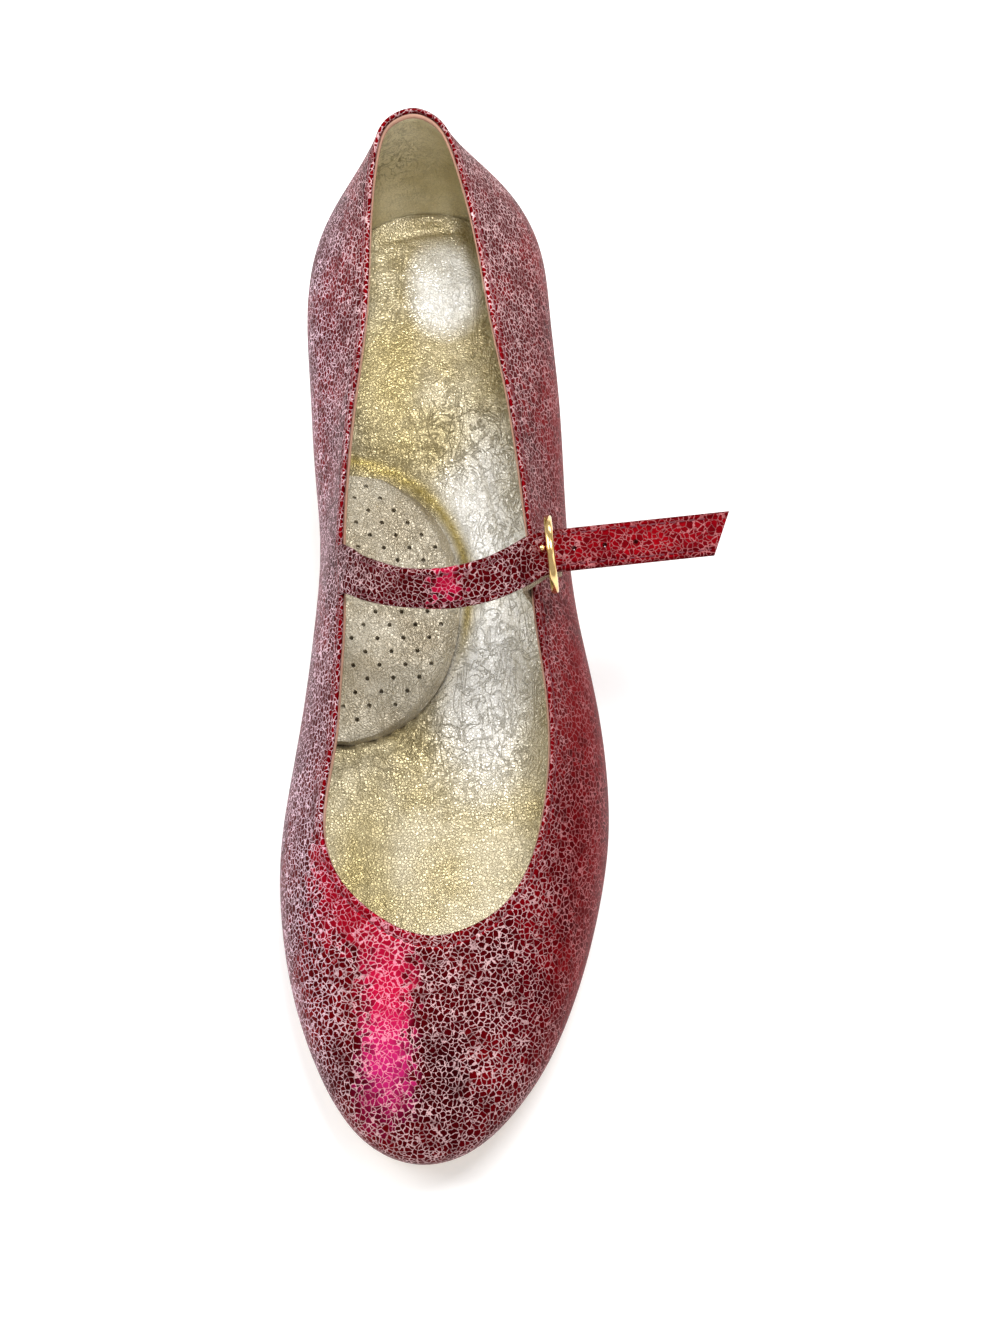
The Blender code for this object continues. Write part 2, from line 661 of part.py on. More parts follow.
def make_buckle_frame(buckle):
    """The ring, turned from a flat profile with eased corners, and its middle bar, joined."""
    ease = 0.0003
    half = RING_DEPTH / 2
    profile = [
        (RING_OUTER, half - ease),
        (RING_OUTER, -half + ease),
        (RING_OUTER - ease, -half),
        (RING_INNER + ease, -half),
        (RING_INNER, -half + ease),
        (RING_INNER, half - ease),
        (RING_INNER + ease, half),
        (RING_OUTER - ease, half),
    ]
    mesh = bpy.data.meshes.new("buckle_frame")
    form = bmesh.new()
    places = [form.verts.new((radius, 0, z)) for radius, z in profile]
    for first, second in zip(places, places[1:] + places[:1]):
        form.edges.new((first, second))
    form.to_mesh(mesh)
    form.free()
    ring = add_piece("buckle_frame", mesh, "gold_metal")
    turn = ring.modifiers.new("turn", "SCREW")
    turn.axis = "Z"
    turn.steps = turn.render_steps = 48
    turn.use_merge_vertices = True
    turn.merge_threshold = 1e-5
    apply_modifiers(ring)
    bpy.ops.mesh.primitive_cylinder_add(vertices=16, radius=BAR_RADIUS, depth=RING_OUTER + RING_INNER)
    bar = bpy.context.object
    bar.data.transform(Matrix.Rotation(math.pi / 2, 4, "X"))
    combine(ring, bar, "UNION")
    ring.data.transform(Matrix.Rotation(math.pi / 2, 4, "Y"))
    ring.matrix_world = buckle.to_world()
    return ring


def add_tube(name, route, radius, finish):
    """A rod along the route, a poly curve with a round bevel and filled ends."""
    data = bpy.data.curves.new(name, "CURVE")
    data.dimensions = "3D"
    data.bevel_depth = radius
    data.bevel_resolution = 2
    data.use_fill_caps = True
    spline = data.splines.new("POLY")
    spline.points.add(len(route) - 1)
    for place, point in zip(spline.points, route):
        place.co = (*point, 1)
    data.materials.append(finish_named(finish))
    rod = bpy.data.objects.new(name, data)
    PIECES.objects.link(rod)
    return rod


def prong_foot():
    """How far from the bar's middle the pin stands where it leaves its loop."""
    return BAR_RADIUS + GAP + PRONG_RADIUS


def make_prong(buckle):
    """The pin: hooked round the bar, then up through the strap to the inner face of the ring's top."""
    loop = prong_foot()
    route = []
    for degrees in range(45, -181, -15):
        angle = math.radians(degrees)
        route.append(buckle.place(through=loop * math.cos(angle), up=loop * math.sin(angle)))
    face = RING_DEPTH / 2 + GAP + PRONG_RADIUS
    route.append(buckle.place(through=-face, up=RING_INNER))
    route.append(buckle.place(through=-face, up=(RING_INNER + RING_OUTER) / 2 + PRONG_RADIUS))
    return add_tube("buckle_prong", route, PRONG_RADIUS, "gold_metal")


def pierce_strap(strap, buckle):
    """The hole that the pin passes through, and the free holes on both sides of it."""
    for step in range(-HOLES_INSIDE, HOLES_OUTSIDE + 1):
        bpy.ops.mesh.primitive_cylinder_add(vertices=16, radius=HOLE_RADIUS, depth=4 * STRAP_THICKNESS)
        hole = bpy.context.object
        middle = buckle.place(through=step * HOLE_PITCH - prong_foot(), up=buckle.strap_rise)
        hole.matrix_world = Matrix.Translation(Vector(middle)) @ buckle.matrix.to_4x4()
        combine(strap, hole, "DIFFERENCE")


def elastic_rows(ribs, buckle):
    """The tape's middle surface as rows across it: up the inside of the wall, over the topline and round the bar."""
    half = ELASTIC_THICKNESS / 2
    acrosses = [ELASTIC_WIDTH * share for share in (-0.5, -0.25, 0.0, 0.25, 0.5)]
    rows = []
    for share in (1.0, 0.75, 0.5, 0.25, 0.0):
        row = []
        for along in acrosses:
            wall = ribs.beside(buckle.rib, buckle.place(along=along)[1], WALL + GAP + half)
            over = wall[-1] + unit(wall[-1] - wall[-2]) * (WALL / 2 + half)
            wall = np.array([*wall, over])
            z = over[2] - ELASTIC_DROP * share
            row.append([np.interp(z, wall[:, 2], wall[:, axis]) for axis in (0, 1)] + [z])
        rows.append(row)
    around = BAR_RADIUS + GAP + half
    for degrees in range(160, -131, -20):
        angle = math.radians(degrees)
        through, up = around * math.cos(angle), around * math.sin(angle)
        rows.append([buckle.place(through, along, up) for along in acrosses])
    return rows


def make_elastic(ribs, buckle):
    """The tape as an open surface given its thickness, with a slit in its middle for the pin."""
    rows = elastic_rows(ribs, buckle)
    form = bmesh.new()
    grid = [[form.verts.new(point) for point in row] for row in rows]
    for near, far in zip(grid, grid[1:]):
        for i in range(len(near) - 1):
            form.faces.new((near[i], near[i + 1], far[i + 1], far[i]))
    mesh = bpy.data.meshes.new("elastic_tape")
    form.to_mesh(mesh)
    form.free()
    tape = add_piece("elastic_tape", mesh, "elastic_tape")
    thicken = tape.modifiers.new("thickness", "SOLIDIFY")
    thicken.thickness = ELASTIC_THICKNESS
    thicken.offset = 0
    apply_modifiers(tape)
    reach = prong_foot() + PRONG_RADIUS + GAP
    bpy.ops.mesh.primitive_cube_add(size=1)
    slit = bpy.context.object
    slit.matrix_world = buckle.to_world() @ Matrix.Diagonal((2.6 * reach, 2 * (PRONG_RADIUS + GAP), 2 * reach, 1))
    combine(tape, slit, "DIFFERENCE")


def main():
    for old in list(bpy.data.objects):
        bpy.data.objects.remove(old)
    ribs = Ribs()
    make_upper(ribs)
    make_outsole(ribs)
    make_insole(ribs)
    make_arch_pad(ribs)
    make_heel(ribs)
    make_top_piece(ribs)
    buckle = Buckle(ribs)
    strap = make_strap(ribs, buckle)
    pierce_strap(strap, buckle)
    make_buckle_frame(buckle)
    make_prong(buckle)
    make_elastic(ribs, buckle)


PIECES = collection_named("mary_jane_pump")
main()
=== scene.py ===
"""The mary jane pump as it looks: its leathers, folds, seams, stitches and metal, on a pale floor.

Metres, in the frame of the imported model: the toe points along -Y, +X is the outer side, +Z is up. A station
is a distance from the back of the heel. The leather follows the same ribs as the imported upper, more finely.
"""

import json
import math
from collections import namedtuple
import bmesh
import bpy
import numpy as np
from mathutils import Matrix, Vector
from mathutils.kdtree import KDTree

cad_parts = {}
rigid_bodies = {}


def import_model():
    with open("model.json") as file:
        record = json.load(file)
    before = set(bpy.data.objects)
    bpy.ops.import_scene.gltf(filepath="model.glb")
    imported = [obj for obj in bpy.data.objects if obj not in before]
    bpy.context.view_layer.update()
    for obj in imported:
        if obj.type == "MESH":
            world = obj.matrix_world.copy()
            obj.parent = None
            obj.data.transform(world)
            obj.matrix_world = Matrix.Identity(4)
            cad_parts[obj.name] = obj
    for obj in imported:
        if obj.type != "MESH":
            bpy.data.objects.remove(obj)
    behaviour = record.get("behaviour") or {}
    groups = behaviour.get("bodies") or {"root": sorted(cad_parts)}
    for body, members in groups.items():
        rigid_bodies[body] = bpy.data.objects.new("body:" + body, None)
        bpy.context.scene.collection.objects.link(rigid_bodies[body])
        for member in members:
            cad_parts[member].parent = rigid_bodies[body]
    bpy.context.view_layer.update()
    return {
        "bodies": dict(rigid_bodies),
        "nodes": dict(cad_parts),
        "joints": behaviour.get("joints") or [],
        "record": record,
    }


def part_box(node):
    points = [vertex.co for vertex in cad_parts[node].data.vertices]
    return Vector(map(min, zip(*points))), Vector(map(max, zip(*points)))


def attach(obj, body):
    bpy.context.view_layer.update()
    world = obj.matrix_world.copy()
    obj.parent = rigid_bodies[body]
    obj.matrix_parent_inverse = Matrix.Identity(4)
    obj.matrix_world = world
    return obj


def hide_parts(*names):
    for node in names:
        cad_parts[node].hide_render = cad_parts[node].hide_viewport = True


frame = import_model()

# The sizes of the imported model
LENGTH = 0.2503
BALL_WIDTH = 0.0795
HEEL_WIDTH = 0.0615
HEEL_RISE = 0.024
BACK_HEIGHT = 0.058
VAMP_HEIGHT = 0.034
TOE_SPRING = 0.008
WALL = 0.002
BELLY_HEIGHT = 0.017
TUCK = 0.0085
TREAD_BACK = 0.168
TREAD_FRONT = 0.192
SHANK_CURVE = 0.8
SPRING_CURVE = 1.7
SOLE_THICKNESS = 0.0035
SOLE_INSET = 0.0002
HEEL_BREAST = 0.050
HEEL_CENTRE = 0.0285
HEEL_INSET = 0.0008
HEEL_TAPER = 0.13
HEEL_BACK_SLANT = 0.10
TOP_PIECE = 0.005
INSOLE_THICKNESS = 0.0032
CUP_RISE = 0.0018
CUP_WIDTH = 0.014
ARCH_RISE = 0.0065
PAD_CENTRE = 0.1100
PAD_LENGTH = 0.068
PAD_REACH = 0.0305
PAD_EDGE = 0.0011
PAD_CROWN = 0.0016
STRAP_STATION = 0.1155
STRAP_WIDTH = 0.0102
STRAP_THICKNESS = 0.0016
STRAP_RISE = 0.0155
STRAP_LEAN = math.radians(50)
TAIL_LENGTH = 0.0400
TAIL_CUT = 0.0046
HOLE_RADIUS = 0.00062
HOLE_PITCH = 0.0072
HOLES_INSIDE = 1
HOLES_OUTSIDE = 3
BUCKLE_STATION = 0.1145
BUCKLE_TILT = math.radians(-5.5)
BUCKLE_YAW = math.radians(6)
BUCKLE_PITCH = math.radians(12)
RING_OUTER = 0.0093
RING_INNER = 0.0070
RING_DEPTH = 0.0019
BAR_RADIUS = 0.0008
PRONG_RADIUS = 0.00065
ELASTIC_WIDTH = 0.0105
ELASTIC_THICKNESS = 0.0010
ELASTIC_DROP = 0.010
GAP = 0.0003
SOLE_GAP = 0.0004
BASE = SOLE_THICKNESS + SOLE_GAP

# How finely the surfaces are divided
RIB_STEPS = 9
LOWER_STEPS = 14
UPPER_STEPS = 56
REST_STEPS = 30
NEAR_DEPTH = 0.0048
NEAR_STEP = 0.0003
SOLE_COLUMNS = 8
INSOLE_COLUMNS = 96
PAD_COLUMNS = 40
TAPE_COLUMNS = 42
STRAP_STEPS = 12
RING_STEPS = 120
RING_CORNERS = 20
SHARP_ANGLE = math.radians(48)

# How the wall is layered at the topline, and where its stitches run
OUTER_THICKNESS = 0.00115
LINING_DEPTH = 0.00125
LINING_DROP = 0.0007
FOLD_HEIGHT = 1.25
STITCH_INSET = 0.0017
STITCH_PITCH = 0.0023
STITCH_LENGTH = 0.0015
STITCH_RADIUS = 0.00019
STITCH_CLEARANCE = STRAP_WIDTH * 0.72
RIM_WIDTH = 0.0022
RIM_BLUR = 0.0006
GROOVE_DEPTH = 0.00022
GROOVE_WIDTH = 0.0005

# A stitch, as shares of its length and how far it dips there, in shares of its radius
STITCH_DIPS = ((-0.5, 0.9), (-0.36, 0.15), (0.0, -0.35), (0.36, 0.15), (0.5, 0.9))

# The lining's raw edge, as depths in the wall and distances below the topline
LINING_EDGE = (
    (LINING_DEPTH - 0.00003, 0.0011),
    (LINING_DEPTH, 0.0004),
    (0.0015, 0.00015),
    (0.0018, 0.0003),
    (WALL + 0.00006, 0.0008),
    (WALL + 0.00005, 0.0013),
)

# The eased edges, from the top down: the sole's as insets and drops, the heel's as shares of its height and
# insets, the rubber's as insets and heights. The heel's ease fades out over EASE_REACH beside the middle line.
SOLE_EASE = 0.0007
SOLE_EDGE = (
    (SOLE_INSET + SOLE_EASE, 0.0),
    (SOLE_INSET, 0.0003),
    (SOLE_INSET - 0.0002, SOLE_THICKNESS * 0.4),
    (SOLE_INSET, SOLE_THICKNESS - SOLE_EASE),
    (SOLE_INSET + SOLE_EASE * 0.35, SOLE_THICKNESS - SOLE_EASE * 0.35),
    (SOLE_INSET + SOLE_EASE, SOLE_THICKNESS),
)
HEEL_EDGE = (
    (0.0, 0.0006),
    (0.02, 0.0001),
    *((share, 0.0) for share in (0.1, 0.25, 0.4, 0.55, 0.7, 0.85, 0.95)),
    (0.985, 0.0002),
    (1.0, 0.0008),
)
RUBBER_EDGE = (
    (0.0004, TOP_PIECE),
    (0.0, TOP_PIECE - 0.0004),
    (0.0, 0.0009),
    (0.0003, 0.0003),
    (0.0009, 0.0),
)
EASE_REACH = 0.006

# The insole's edge, and the pad with its wrinkles and pinholes
INSOLE_EASE = 0.0004
INSOLE_LIP = 0.0005
PAD_START = 0.0015
PAD_FIRST_SHARE = 0.035
PAD_SINK = 0.0009
PAD_ROUNDING = 0.0008
PAD_FRONT_FADE = 0.022
RIPPLE_HEIGHT = 0.0001
PINHOLE_PITCH = 0.0046
PINHOLE_RADIUS = 0.00055
PINHOLE_DEPTH = 0.004
PINHOLE_TURN = math.radians(40)
PINHOLE_START = (-0.0126, 0.1126)
PINHOLE_MARGIN = 0.003

# The strap's root, as distances below the topline and shares of the strap's width
STRAP_ROOT = ((0.0042, 1.52), (0.0030, 1.46), (0.0018, 1.40), (0.0008, 1.34), (0.0, 1.30))
FIRST_FREE_ROW = 9
FIRST_STITCHED_ROW = 14
STITCH_TRACK = 0.725

# Half of the strap's cross-section, as shares of the half width and of the thickness: folded edges, a shallow
# channel where the stitches lie, and a flat back
STRAP_HALF = (
    (0.0, 0.47),
    (0.30, 0.48),
    (0.55, 0.485),
    (0.66, 0.48),
    (STITCH_TRACK, 0.40),
    (0.79, 0.47),
    (0.86, 0.50),
    (0.93, 0.46),
    (0.975, 0.33),
    (1.0, 0.05),
    (0.985, -0.28),
    (0.94, -0.45),
    (0.80, -0.5),
    (0.40, -0.5),
)

# The ring's rounded section, and the tape's ribs
RING_ROUNDNESS = 0.62
TAPE_START = 160
TAPE_RIB = 0.00006
THREADS_PER_RIB = 3

Section = namedtuple("Section", "along fore medial lateral belly tuck_in tuck_out")
SECTIONS = [
    Section(0.000, 0.00, 0.000, 0.000, 1.16, 0.40, 0.40),
    Section(0.012, 0.00, -0.211, 0.211, 1.16, 0.40, 0.40),
    Section(0.040, 0.00, -0.360, 0.358, 1.15, 0.42, 0.42),
    Section(0.088, 0.00, -0.463, 0.460, 1.14, 0.45, 0.45),
    Section(0.160, 0.00, -0.501, 0.502, 1.12, 0.50, 0.48),
    Section(0.240, 0.10, -0.468, 0.520, 1.08, 0.66, 0.55),
    Section(0.320, 0.25, -0.426, 0.518, 1.04, 0.88, 0.66),
    Section(0.400, 0.40, -0.384, 0.517, 0.97, 1.00, 0.74),
    Section(0.480, 0.60, -0.379, 0.531, 0.94, 0.90, 0.72),
    Section(0.560, 0.80, -0.393, 0.565, 0.88, 0.66, 0.60),
    Section(0.620, 1.00, -0.405, 0.566, 0.82, 0.48, 0.48),
    Section(0.680, 1.00, -0.431, 0.570, 0.76, 0.38, 0.38),
    Section(0.740, 1.00, -0.433, 0.545, 0.71, 0.33, 0.33),
    Section(0.800, 1.00, -0.410, 0.501, 0.68, 0.30, 0.30),
    Section(0.860, 1.00, -0.364, 0.439, 0.65, 0.28, 0.28),
    Section(0.912, 1.00, -0.302, 0.362, 0.62, 0.26, 0.26),
    Section(0.952, 1.00, -0.233, 0.274, 0.59, 0.25, 0.25),
    Section(0.984, 1.00, -0.138, 0.168, 0.56, 0.24, 0.24),
    Section(1.000, 1.00, 0.013, 0.013, 0.53, 0.24, 0.24),
]
Top = namedtuple("Top", "along medial lateral up shoulder curl")
TOPS = [
    Top(0.024, -0.065, -0.065, 1.000, 0.30, 0.70),
    Top(0.030, -0.150, 0.018, 0.992, 0.30, 0.72),
    Top(0.044, -0.206, 0.076, 0.972, 0.29, 0.80),
    Top(0.080, -0.236, 0.134, 0.933, 0.28, 0.94),
    Top(0.140, -0.250, 0.200, 0.875, 0.30, 1.06),
    Top(0.212, -0.251, 0.251, 0.860, 0.34, 1.14),
    Top(0.288, -0.277, 0.306, 0.877, 0.37, 1.18),
    Top(0.364, -0.294, 0.340, 0.911, 0.38, 1.20),
    Top(0.440, -0.288, 0.357, 1.004, 0.38, 1.20),
    Top(0.512, -0.269, 0.364, 1.133, 0.38, 1.20),
    Top(0.564, -0.264, 0.374, 1.355, 0.38, 1.20),
    Top(0.612, -0.272, 0.387, 1.280, 0.36, 1.18),
    Top(0.656, -0.294, 0.382, 1.212, 0.34, 1.15),
    Top(0.698, -0.306, 0.362, 1.153, 0.31, 1.11),
    Top(0.732, -0.282, 0.330, 1.106, 0.28, 1.08),
    Top(0.760, -0.229, 0.284, 1.065, 0.25, 1.05),
    Top(0.782, -0.153, 0.221, 1.029, 0.22, 1.02),
    Top(0.798, -0.067, 0.132, 1.009, 0.20, 1.00),
    Top(0.805, 0.033, 0.033, 1.000, 0.19, 0.99),
]
TOP_HANDLE = 0.36
StrapRow = namedtuple("StrapRow", "across rise turn")
STRAP_ROWS = [
    StrapRow(0.04, 0.22, 0.00),
    StrapRow(0.15, 0.58, 0.00),
    StrapRow(0.32, 0.90, 0.00),
    StrapRow(0.52, 1.00, 0.10),
    StrapRow(0.70, 0.80, 0.40),
    StrapRow(0.83, 0.46, 0.75),
    StrapRow(0.92, 0.15, 1.00),
]

# Creases of the insole's leather. Each runs from one point to another, given in mm as the distance from the
# shoe's middle line and the station. It is bent sideways by bow, and it is a ridge where height is above zero
# and a trough where it is below.
Crease = namedtuple("Crease", "x0 s0 x1 s1 bow height width")
CREASES = [
    Crease(-13, 12, 8, 8, 1.0, -0.45, 0.8),
    Crease(-12, 14, -2, 22, 1.0, -0.22, 0.5),
    Crease(-9, 12, 1, 18, 0.8, 0.20, 0.7),
    Crease(-6, 14, -8, 27, 0.6, -0.16, 0.5),
    Crease(-16, 60, 7, 60, 0.5, -0.28, 0.6),
    Crease(4, 60, 13, 82, 1.2, -0.42, 0.9),
    Crease(7, 58, 17, 84, 1.6, -0.35, 0.7),
    Crease(3, 66, 10, 90, 1.4, 0.35, 0.9),
    Crease(0, 62, 9, 93, 2.2, -0.30, 0.8),
    Crease(11, 66, 19, 92, 1.0, -0.26, 0.6),
    Crease(14, 72, 21, 97, 0.6, -0.22, 0.6),
    Crease(9, 92, 13, 108, 0.5, 0.40, 1.0),
    Crease(12, 100, 17, 122, 0.8, -0.42, 1.0),
    Crease(14, 104, 23, 128, 1.0, 0.34, 1.1),
    Crease(17, 100, 27, 124, 0.7, -0.30, 0.9),
    Crease(10, 118, 9, 140, -0.8, 0.32, 0.8),
    Crease(12, 118, 14, 138, 0.6, 0.28, 0.7),
    Crease(8, 120, 2, 142, -0.8, 0.26, 0.7),
    Crease(15, 117, 20, 136, 0.8, 0.24, 0.7),
    Crease(-6, 186, -7, 204, 0.6, -0.20, 0.5),
    Crease(-11, 176, -10, 196, 0.8, -0.24, 0.5),
    Crease(-15, 168, -15, 188, 0.8, -0.22, 0.5),
    Crease(4, 182, 3, 202, 0.5, -0.14, 0.5),
    Crease(12, 176, 14, 194, -0.5, -0.14, 0.5),
    Crease(18, 160, 22, 182, -0.6, -0.14, 0.5),
    Crease(-9, 30, 5, 36, 1.2, -0.14, 0.5),
    Crease(0, 34, 10, 48, 1.2, -0.14, 0.5),
    Crease(-11, 40, -3, 56, 1.0, -0.12, 0.5),
    Crease(6, 44, 14, 58, 0.8, -0.16, 0.5),
    Crease(-14, 64, -2, 68, 0.8, -0.18, 0.5),
]

# Soft dents and swells of the upper. Each is centred at a station and a share of the way from the feather edge
# to the topline, on one side, and it is that many mm long, wide and high.
Swell = namedtuple("Swell", "side station share length width height")
SWELLS = [
    Swell("medial", 0.040, 0.62, 26, 9, -0.50),
    Swell("medial", 0.075, 0.70, 30, 7, -0.45),
    Swell("medial", 0.118, 0.80, 16, 6, 0.35),
    Swell("lateral", 0.050, 0.66, 28, 8, -0.40),
    Swell("lateral", 0.100, 0.72, 26, 7, -0.40),
    Swell("lateral", 0.135, 0.55, 18, 8, 0.30),
    Swell("medial", 0.160, 0.60, 22, 8, -0.35),
    Swell("lateral", 0.170, 0.62, 24, 8, 0.25),
    Swell("medial", 0.215, 0.45, 16, 10, 0.25),
]


def mix(first, second, share):
    return first + (second - first) * share


def smooth(share):
    share = min(max(share, 0.0), 1.0)
    return share * share * (3 - 2 * share)


def unit(vector):
    return vector / np.linalg.norm(vector)


# Meshes


def mesh_piece(name, points, faces, replaces=()):
    """A smooth closed mesh that rides on the shoe."""
    form = bmesh.new()
    verts = [form.verts.new(point) for point in points]
    for face in faces:
        form.faces.new([verts[i] for i in face])
    bmesh.ops.remove_doubles(form, verts=form.verts, dist=1e-7)
    bmesh.ops.dissolve_degenerate(form, edges=form.edges, dist=1e-8)
    bmesh.ops.recalc_face_normals(form, faces=form.faces)
    mesh = bpy.data.meshes.new(name)
    form.to_mesh(mesh)
    form.free()
    mesh.shade_smooth()
    mesh.set_sharp_from_angle(angle=SHARP_ANGLE)
    piece = bpy.data.objects.new(name, mesh)
    bpy.context.scene.collection.objects.link(piece)
    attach(piece, "root")
    if replaces:
        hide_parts(*replaces)
    return piece


def skin(name, sections, ring=False, caps=(True, True), replaces=()):
    """A closed body through sections with as many points each. A ring's last section meets its first."""
    count = len(sections[0])
    points = [point for section in sections for point in section]
    rows = len(sections)
    faces = []
    for row in range(rows if ring else rows - 1):
        after = (row + 1) % rows
        for i in range(count):
            j = (i + 1) % count
            faces.append((row * count + i, row * count + j, after * count + j, after * count + i))
    if not ring and caps[0]:
        faces.append(tuple(reversed(range(count))))
    if not ring and caps[1]:
        faces.append(tuple(range((rows - 1) * count, rows * count)))
    return mesh_piece(name, points, faces, replaces)


def cut(piece, cutter):
    change = piece.modifiers.new("cut", "BOOLEAN")
    change.object = cutter
    change.operation = "DIFFERENCE"
    bpy.context.view_layer.update()
    graph = bpy.context.evaluated_depsgraph_get()
    made = bpy.data.meshes.new_from_object(piece.evaluated_get(graph))
    piece.modifiers.clear()
    piece.data = made
    bpy.data.objects.remove(cutter)


def rods(name, routes, radius, sides, replaces=()):
    """Short closed rods with rounded ends in one piece. Each route is a list of (point, outward direction)."""
    points, faces = [], []
    for route in routes:
        start = len(points)
        places = np.array([place for place, out in route])
        ways = np.gradient(places, axis=0)
        last = len(route) - 1
        for i, (middle, out) in enumerate(route):
            way = unit(ways[i])
            rise = unit(out - way * (out @ way))
            side = np.cross(way, rise)
            size = radius * (0.55 if i in (0, last) else 1.0)
            for k in range(sides):
                angle = 2 * math.pi * k / sides
                points.append(middle + size * (side * math.cos(angle) + rise * math.sin(angle)))
        for i in range(last):
            for k in range(sides):
                j = (k + 1) % sides
                low, high = start + i * sides, start + (i + 1) * sides
                faces.append((low + k, low + j, high + j, high + k))
        faces.append(tuple(start + k for k in reversed(range(sides))))
        faces.append(tuple(start + last * sides + k for k in range(sides)))
    return mesh_piece(name, points, faces, replaces)


# The ribs


def closed_spline(knots, steps):
    knots = np.asarray(knots, float)
    count = len(knots)
    gaps = np.linalg.norm(np.roll(knots, -1, 0)[:, :2] - knots[:, :2], axis=1)
    system = np.zeros((count, count))
    right = np.zeros_like(knots)
    for i in range(count):
        after = (i + 1) % count
        system[i, i - 1] += gaps[i - 1]
        system[i, i] += 2 * (gaps[i - 1] + gaps[i])
        system[i, after] += gaps[i]
        right[i] = 6 * ((knots[after] - knots[i]) / gaps[i] - (knots[i] - knots[i - 1]) / gaps[i - 1])
    bends = np.linalg.solve(system, right)
    points = []
    for i in range(count):
        after = (i + 1) % count
        for step in range(steps):
            b = step / steps
            a = 1 - b
            bend = (a**3 - a) * bends[i] + (b**3 - b) * bends[after]
            points.append(a * knots[i] + b * knots[after] + gaps[i] ** 2 / 6 * bend)
    return np.array(points)


def open_spline(knots, steps):
    knots = np.asarray(knots, float)
    ends = [2 * knots[0] - knots[1], *knots, 2 * knots[-1] - knots[-2]]
    points = []
    for i in range(1, len(ends) - 2):
        for step in range(steps):
            t = step / steps
            a, b, c, d = ends[i - 1 : i + 3]
            square = (2 * a - 5 * b + 4 * c - d) * t**2
            cube = (3 * b - 3 * c + d - a) * t**3
            points.append(0.5 * (2 * b + (c - a) * t + square + cube))
    points.append(knots[-1])
    return np.array(points)


def feather_height(station):
    if station < TREAD_BACK:
        return BASE + HEEL_RISE * smooth((1 - station / TREAD_BACK) ** SHANK_CURVE)
    if station > TREAD_FRONT:
        return BASE + TOE_SPRING * ((station - TREAD_FRONT) / (LENGTH - TREAD_FRONT)) ** SPRING_CURVE
    return BASE


def knots_of(side):
    rows = []
    for section, top in zip(SECTIONS, TOPS):
        width = mix(HEEL_WIDTH, BALL_WIDTH, section.fore)
        height = mix(HEEL_RISE + BACK_HEIGHT, VAMP_HEIGHT, section.fore)
        station = section.along * LENGTH
        inner = side == "medial"
        rows.append(
            [
                width * (section.medial if inner else section.lateral),
                HEEL_CENTRE - station,
                feather_height(station),
                BELLY_HEIGHT * section.belly,
                TUCK * (section.tuck_in if inner else section.tuck_out),
                width * (top.medial if inner else top.lateral),
                HEEL_CENTRE - top.along * LENGTH,
                BASE + height * top.up,
                top.shoulder,
                top.curl,
            ]
        )
    return rows


def outward_normals(plan):
    along = np.roll(plan, -1, 0) - np.roll(plan, 1, 0)
    out = np.stack([along[:, 1], -along[:, 0], np.zeros(len(plan))], axis=1)
    return out / np.linalg.norm(out, axis=1)[:, None]


def rib_profile(values, out):
    x, y, foot, belly, tuck, top_x, top_y, top_z, shoulder, curl = values
    widest = np.array([x, y, foot + belly])
    top = np.array([top_x, top_y, top_z])
    points = []
    for step in range(LOWER_STEPS):
        share = step / LOWER_STEPS
        points.append(widest - out * tuck * (1 - share) ** 2 - np.array([0, 0, belly * (1 - share)]))
    way = top - widest
    level = math.hypot(way[0], way[1])
    lean = min(math.atan2(level, way[2]) * curl, math.radians(80))
    inward = np.array([way[0] / level, way[1] / level, 0])
    reach = np.linalg.norm(way)
    first = widest + np.array([0, 0, shoulder * reach])
    second = top - TOP_HANDLE * reach * (inward * math.sin(lean) + np.array([0, 0, math.cos(lean)]))
    for step in range(UPPER_STEPS + 1):
        t = step / UPPER_STEPS
        points.append(
            (1 - t) ** 3 * widest + 3 * (1 - t) ** 2 * t * first + 3 * (1 - t) * t**2 * second + t**3 * top
        )
    return np.array(points)


# Distances below the topline at which the wall is sampled, close together where the seam runs
NEAR_TOP = np.arange(0, NEAR_DEPTH, NEAR_STEP)


def runs_to_end(points):
    """How far each point of a row lies from its last one, measured along the row."""
    steps = np.linalg.norm(np.diff(points, axis=0), axis=1)
    return np.concatenate([np.cumsum(steps[::-1])[::-1], [0.0]])


def point_at(distance, distances, points):
    """The point of a row at a distance from its end, where distances gives that of each point."""
    return np.array([np.interp(distance, distances[::-1], points[::-1, axis]) for axis in range(3)])


def resample(profile):
    """The profile from the feather edge to the topline, with its points closer together at the seam."""
    below_top = runs_to_end(profile)
    total = below_top[0]
    rest = np.linspace(NEAR_TOP[-1], total, REST_STEPS + 1)[1:]
    wanted = np.concatenate([NEAR_TOP, rest])[::-1]
    return point_at(wanted, below_top, profile).T, wanted, total


def surface_normals(grid):
    around = np.roll(grid, -1, 0) - np.roll(grid, 1, 0)
    up = np.gradient(grid, axis=1)
    normals = np.cross(around, up)
    return normals / np.linalg.norm(normals, axis=2)[:, :, None]


